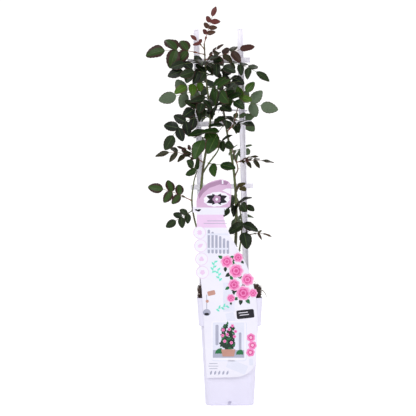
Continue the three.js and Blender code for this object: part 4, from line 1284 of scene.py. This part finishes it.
card = {
    "thick": 1.0,
    "bow": [(-54.5, 50), (-61, 158), (-64.2, 212), (-66.5, 300), (-60, 400), (-47, 452)],
    "start": (-44.8, 56),
    "sides": [
        [(10, 57)],
        [(46, 60), (52, 92)],
        [(53.7, 160)],
        [(56, 215), (42, 262), (20, 300)],
        [(6, 324), (-8, 346), (-13, 374)],
        [(-12, 384), (0, 390)],
        [(3, 400), (3, 428)],
        [(2, 442), (-18, 443)],
        [(-46, 440), (-62, 424), (-65, 400)],
        [(-64, 344)],
        [(-54.4, 226)],
    ],
    "rightEdge": [(92, 51), (160, 52), (215, 51), (262, 38), (300, 19), (328, 5)],
    "lobes": [(-58.8 + 1.85 * i, 339.4 - 25.7 * i) for i in range(4)],
    "lobeRadius": 12.6,
    "band": [(-72, 378.5), (-10, 373.5), (-10, 385.5), (-72, 390.5)],
    "fold": 9,
    "foldRange": (36, 468),
    "ink": 0.08,
    "inkStep": 0.04,
    "lifts": 6,
}
bowCurve = curveLine([np.array(place, float) for place in card["bow"]], 120)
folds = np.arange(*card["foldRange"], card["fold"])
foldBacks = np.interp(folds, bowCurve[:, 1], bowCurve[:, 0])


def bezier(handles, share):
    while len(handles) > 1:
        handles = [a + (b - a) * share for a, b in zip(handles, handles[1:])]
    return handles[0]


def cardOutline():
    line = [np.array(card["start"], float)]
    for side in card["sides"]:
        handles = [line[-1], *(np.array(place, float) for place in side)]
        steps = 1 if len(side) == 1 else 12
        line += [bezier(handles, i / steps) for i in range(1, steps + 1)]
    return line


def along(place, distance, degrees):
    angle = math.radians(degrees)
    return place[0] + distance * math.cos(angle), place[1] + distance * math.sin(angle)


def leant(points, middle, tilt):
    return [along(along(middle, x, tilt), z, tilt + 90) for x, z in points]


def disc(middle, radius, sides=24, petals=0, depth=0.0, tilt=0.0, squash=1.0):
    # a round or an oval, or a flower when it has petals
    line = []
    for i in range(sides):
        angle = 2 * math.pi * i / sides
        size = radius * (1 - depth * (1 - abs(math.sin(petals * angle / 2))))
        line.append((size * math.cos(angle), size * squash * math.sin(angle)))
    return leant(line, middle, tilt)


def discs(places, radius, sides, petals=0, depth=0.0, turn=0):
    # the same disc at each place, each turned further
    return [disc(place, radius, sides, petals, depth, turn * k) for k, place in enumerate(places)]


def blade(root, length, tilt, wide=0.5):
    # a leaf
    shares = [math.sin(math.pi * i / 12) ** 2 for i in range(7)]
    upper = [(length * t, wide * length * 0.5 * math.sin(math.pi * t**0.8)) for t in shares]
    return leant(upper + [(x, -z) for x, z in upper[-2:0:-1]], root, tilt)


def slab(middle, width, height, corner=0.0, tilt=0.0):
    # a box, with round corners if asked
    line = []
    for quarter, (signX, signZ) in enumerate(((1, 1), (-1, 1), (-1, -1), (1, -1))):
        centre = (signX * (width / 2 - corner), signZ * (height / 2 - corner))
        steps = range(5 if corner else 1)
        line += [along(centre, corner, 90 * (quarter + step / 4)) for step in steps]
    return leant(line, middle, tilt)


def cut(place, normal, **settings):
    bpy.ops.mesh.select_all(action="SELECT")
    bpy.ops.mesh.bisect(plane_co=place, plane_no=normal, **settings)


def sheet(name, outline, thick, **cuts):
    # a disc whose rim is drawn out to the outline, cut off by level lines
    bpy.ops.mesh.primitive_circle_add(vertices=len(outline), fill_type="NGON")
    made = added(name)
    for vertex, (x, z) in zip(made.data.vertices, outline):
        vertex.co = (x * mm, 0, z * mm)
    modify(made, "TRIANGULATE")
    if made.data.polygons[0].normal.y > 0:
        made.data.flip_normals()
    openMesh()
    for side, height in cuts.items():
        cut((0, 0, height * mm), (0, 0, -1 if side == "above" else 1), clear_outer=True)
    closeMesh()
    return modify(made, "SOLIDIFY", thickness=thick * mm, offset=-1)


def bent(made, forward):
    # folds across a flat piece, then the bow; forward is how far its front stands off the board's
    heights = [vertex.co.z / mm for vertex in made.data.vertices]
    pick(made)
    openMesh()
    for fold in folds[(folds > min(heights)) & (folds < max(heights))]:
        cut((0, 0, fold * mm), (0, 0, 1))
    closeMesh()
    for vertex in made.data.vertices:
        back = np.interp(vertex.co.z / mm, folds, foldBacks)
        vertex.co.y += (back - card["thick"] - forward) * mm
    return modify(made, "TRIANGULATE")


inkColors = {
    "White": ((231, 229, 240), (227, 225, 237)),
    "Lilac": ((206, 173, 204), (199, 164, 197)),
    "DeepLilac": ((168, 132, 164), (158, 122, 156)),
    "PalePink": ((226, 198, 228), (222, 192, 224)),
    "Mist": ((218, 219, 234), (212, 214, 230)),
    "Slate": ((166, 168, 188), (156, 158, 180)),
    "Night": ((26, 24, 34), (20, 18, 28)),
    "Mint": ((118, 222, 200), (104, 210, 188)),
    "Rose": ((232, 136, 190), (224, 122, 180)),
    "DeepRose": ((212, 80, 146), (200, 68, 134)),
    "Blush": ((236, 182, 212), (231, 172, 206)),
    "Green": ((38, 110, 66), (28, 92, 52)),
    "Moss": ((28, 54, 40), (22, 44, 32)),
    "Tan": ((190, 144, 132), (178, 130, 118)),
}
inks = {
    name: grainMaterial(
        "ink" + name, *colors, rough=(0.28, 0.36), patches=30, grain=2200,
        relief=0.04, depth=0.0001, **{"Specular IOR Level": 0.3},
    )
    for name, colors in inkColors.items()
}
cardFace = cardOutline()


def printed(name, tint, layer, outlines, **cuts):
    # the motifs of one ink and layer, as thin sheets standing a little off the board, joined
    sheets = []
    for number, outline in enumerate(outlines):
        flat = sheet(name, outline, card["ink"] + layer * card["inkStep"], **cuts)
        wear(flat, inks[tint])
        lift = number % card["lifts"] / (card["lifts"] + 2)  # so that motifs of one ink can overlap
        sheets.append(bent(flat, (layer + 1 + lift) * card["inkStep"]))
    return finish(join(sheets, name), "card")


# the board, with its round lobes and the band across it

cardWhite = grainMaterial(
    "cardWhite", (227, 225, 237), (223, 221, 234), rough=(0.3, 0.4),
    patches=12, grain=1800, relief=0.05, depth=0.0001,
)
lobes = card["lobes"]
plates = [cardFace, card["band"], *discs(lobes, card["lobeRadius"], 32)]
board, *others = [sheet("labelBoard", plate, card["thick"]) for plate in plates]
for other in others:
    modify(board, "BOOLEAN", operation="UNION", solver="EXACT", object=other)
    bpy.data.objects.remove(other)
bent(board, 0)
wear(board, cardWhite)
finish(board, "card", ["label_card"])

# fields of plain colour, a painted shade inside the top edge, a fence, two notches in the top, and a
# painted shadow at the band's end
printed("topField", "Lilac", 0, [cardFace], above=388)
printed("middleField", "PalePink", 0, [cardFace], above=349, below=374)
# painted shade: a darker lilac band just inside the upper-left edge, where the card bends back away from
# the light
topShadeBand = [
    (-61.5, 414), (-55, 425), (-42, 435), (-18, 441.5), (-2, 438),
    (-6, 432), (-20, 433), (-40, 426), (-52, 416), (-60, 404),
]
printed("topPaintedShade", "DeepLilac", 1, [topShadeBand])
hook = [(-15, 421), (-7, 425), (2.4, 425), (1.4, 413), (-4, 416)]
printed("topNotches", "White", 2, [slab((-14, 438), 3, 8), hook])
printed("mistFields", "Mist", 1, [slab((-2, 214), 22, 56), slab((2, 170.5), 16, 26, 0, 12)])
pickets = [slab((-41 + 7.4 * i, 322 - 2.2 * i), 4.6, 46 - 4 * i, 2.2) for i in range(6)]
printed("mistPicket", "Slate", 1, pickets)
printed("mistRail", "Mist", 2, [slab((-24, z), 42, 3.4) for z in (336, 308)])
# painted shadow: a thin near-black strip at the band's right end, standing in for the shadow that end
# casts
bandShadowStrip = [(-10.9, 374.2), (-10.2, 374.2), (-10.2, 385.2), (-10.9, 385.2)]
printed("bandPaintedShadow", "Night", 2, [bandShadowStrip])

# a bloom between leaves in a white oval, and two small leaves on the band
badge = (-25.5, 404)
printed("badgeOval", "White", 2, [disc(badge, 26, 48, 12, 0.07, 5, 0.56)])
sprig = [blade(badge, 21, turn) for turn in (163, 198, 17, -16)]
sprig += [blade(badge, 14, turn) for turn in (130, 230, 52, -52)]
printed("badgeSprig", "Night", 3, [*sprig, blade((-64, 381), 9, 22), blade((-62, 382), 7, 160)])
printed("badgeBloom", "DeepLilac", 4, [disc(badge, 8.4, 40, 5, 0.24)])
printed("badgeEye", "White", 5, [disc(badge, 3, 20, 5, 0.2)])

# the lobes: a rim, a white face and a small figure in each
printed("lobeRims", "PalePink", 1, discs(lobes, 12.2, 32))
printed("lobeFaces", "White", 2, discs(lobes, 11.2, 32))
figures = [
    disc(lobes[0], 5.5, 32, 8, 0.4),
    blade((lobes[1][0] - 5, lobes[1][1] - 3), 12, 35, 0.6),
    disc(lobes[2], 5, 24, 3, 0.35, 30),
    disc(lobes[3], 5.2, 30, 5, 0.3, 18),
]
printed("lobeFigures", "PalePink", 3, figures)

# blooms, each of nested rings of petals, with leaves between them that stay on the card
blooms = [
    ((-6, 283), 12.5), ((16, 291), 10), ((12, 265), 14.5), ((34, 248), 13),
    ((8, 238), 12), ((26, 222), 15), ((45, 222), 9), ((2, 212), 8.5),
]
rings = [
    ("Blush", 1, 0, 7), ("Rose", 0.84, 11, 6), ("DeepRose", 0.6, 33, 5), ("Rose", 0.44, 5, 5),
    ("DeepRose", 0.24, 40, 4),
]
leaves = []
for number, (place, size) in enumerate(blooms):
    for turn in (15 + 47 * number, 140 + 31 * number, 255 + 53 * number):
        leaves.append(blade(along(place, 0.8 * size, turn), 0.85 * size, turn + 12, 0.62))
edge = np.array(card["rightEdge"]).T
inside = [leaf for leaf in leaves if all(x < np.interp(z, *edge) for x, z in leaf)]
printed("bloomLeavesDark", "Moss", 3, inside[::2])
printed("bloomLeaves", "Green", 4, inside[1::2])
for order, (tint, share, turn, petals) in enumerate(rings):
    shapes = [
        disc(place, size * share, 42, petals, 0.16, turn + 13 * k)
        for k, (place, size) in enumerate(blooms)
    ]
    printed("bloomRing" + str(order + 1), tint, 5 + order, shapes)

# mint sprigs, tags, and a lantern on its string
mint = []
for x, z, turn in ((-34, 262, 78), (-20, 246, 100), (-26, 190, 20)):
    mint.append(slab(along((x, z), 11, turn), 24, 1.2, 0, turn))
    for i in range(5):
        mint.append(blade(along((x, z), 5 * i, turn), 7.5, turn + (50 if i % 2 else -50)))
printed("mintSprigs", "Mint", 2, mint)
printed("tanTag", "Tan", 2, [slab((-36, 222), 15, 9, 2, 14), disc((-44, 206), 3, 16)])
printed("nightTag", "Night", 2, [slab((30, 181), 34, 17, 3, 6)])
tagLines = [slab((26 + 2 * i, 184 - 4.5 * i), 18, 1.3, 0, 6) for i in range(2)]
printed("nightTagLines", "White", 3, tagLines)
printed("slateTool", "Slate", 2, [slab((-45, 204), 1.4, 30), disc((-45, 184), 7.5, squash=0.9)])
printed("nightTool", "Night", 3, [disc((-45, 181), 5, 20, squash=0.5)])

# a framed picture of a bush in a tub
printed("frameBoard", "White", 2, [slab((-2.5, 129), 68, 77, 6)])
printed("frameShadow", "Mist", 1, [slab((-1.5, 127.6), 69, 78, 6)])
printed("picture", "Mist", 3, [slab((-2.5, 130), 61, 69, 2)])
wall = [slab((-2.5, 103), 61, 15), slab((-25, 140), 6, 40, 2), slab((20, 128), 5, 34, 2)]
printed("pictureWall", "Slate", 4, wall)
bush = []
for i in range(13):
    place = (-4 + 9 * math.sin(2.4 * i), 116 + 3.4 * i)
    bush.append(disc(place, 8.5 - 0.25 * i, 30, 7, 0.34, 21 * i))
printed("pictureBush", "Moss", 5, [*bush[::2], *bush[1::2]])
tufts = [blade((-28 + 3.2 * i, 103), 12, 60 + 9 * i, 0.4) for i in range(5)]
tufts += [blade((13 + 3 * i, 101), 11, 66 + 9 * i, 0.4) for i in range(5)]
sprays = [blade((-4 + 9 * math.sin(1.7 * i), 114 + 4.1 * i), 8, 40 * i) for i in range(12)]
printed("pictureTufts", "Green", 6, tufts + sprays)
printed("pictureTub", "Tan", 7, [[(-14, 98), (8, 98), (11, 112), (-17, 112)]])
spots = [
    (-13, 150), (5, 158), (-5, 141), (9, 137), (-10, 128), (3, 125), (-1, 151), (-14, 139), (11, 147)
]
printed("pictureBlooms", "Rose", 8, discs(spots, 3.4, 20, 5, 0.2, 15))
printed("pictureEyes", "DeepRose", 9, discs(spots, 1.5, 10))

# a strip of blooms beside the picture, plain rules and a row of leaves under it
strip = [(41, 135), (44, 120), (40, 106)]
printed("stripBlooms", "Rose", 3, discs(strip, 8.5, 36, 6, 0.14, 20))
printed("stripRings", "DeepRose", 4, discs(strip, 5.4, 30, 5, 0.2, 35))
printed("stripEyes", "Blush", 5, discs(strip, 3, 20, 5, 0.2, 10))
rules = [slab((-32, 84 - 5 * i), 16 + 3 * (i % 2), 1.1) for i in range(3)]
printed("rules", "Slate", 2, [*rules, slab((-27, 362), 34, 1.2), slab((-28, 357), 46, 0.9)])
printed("leafRow", "Slate", 2, [blade((-38 + 8 * i, 62), 9, 70, 0.45) for i in range(5)])
printed("paleSlip", "Mist", 1, [slab((14, 78), 40, 18, 2, -22), slab((41.5, 87), 8, 13, 2)])
print("label ready")

boxes = {"cad": cadBox, "visual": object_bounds()}
{name: [list(corner) for corner in box] for name, box in boxes.items()}
print("all pieces ready")
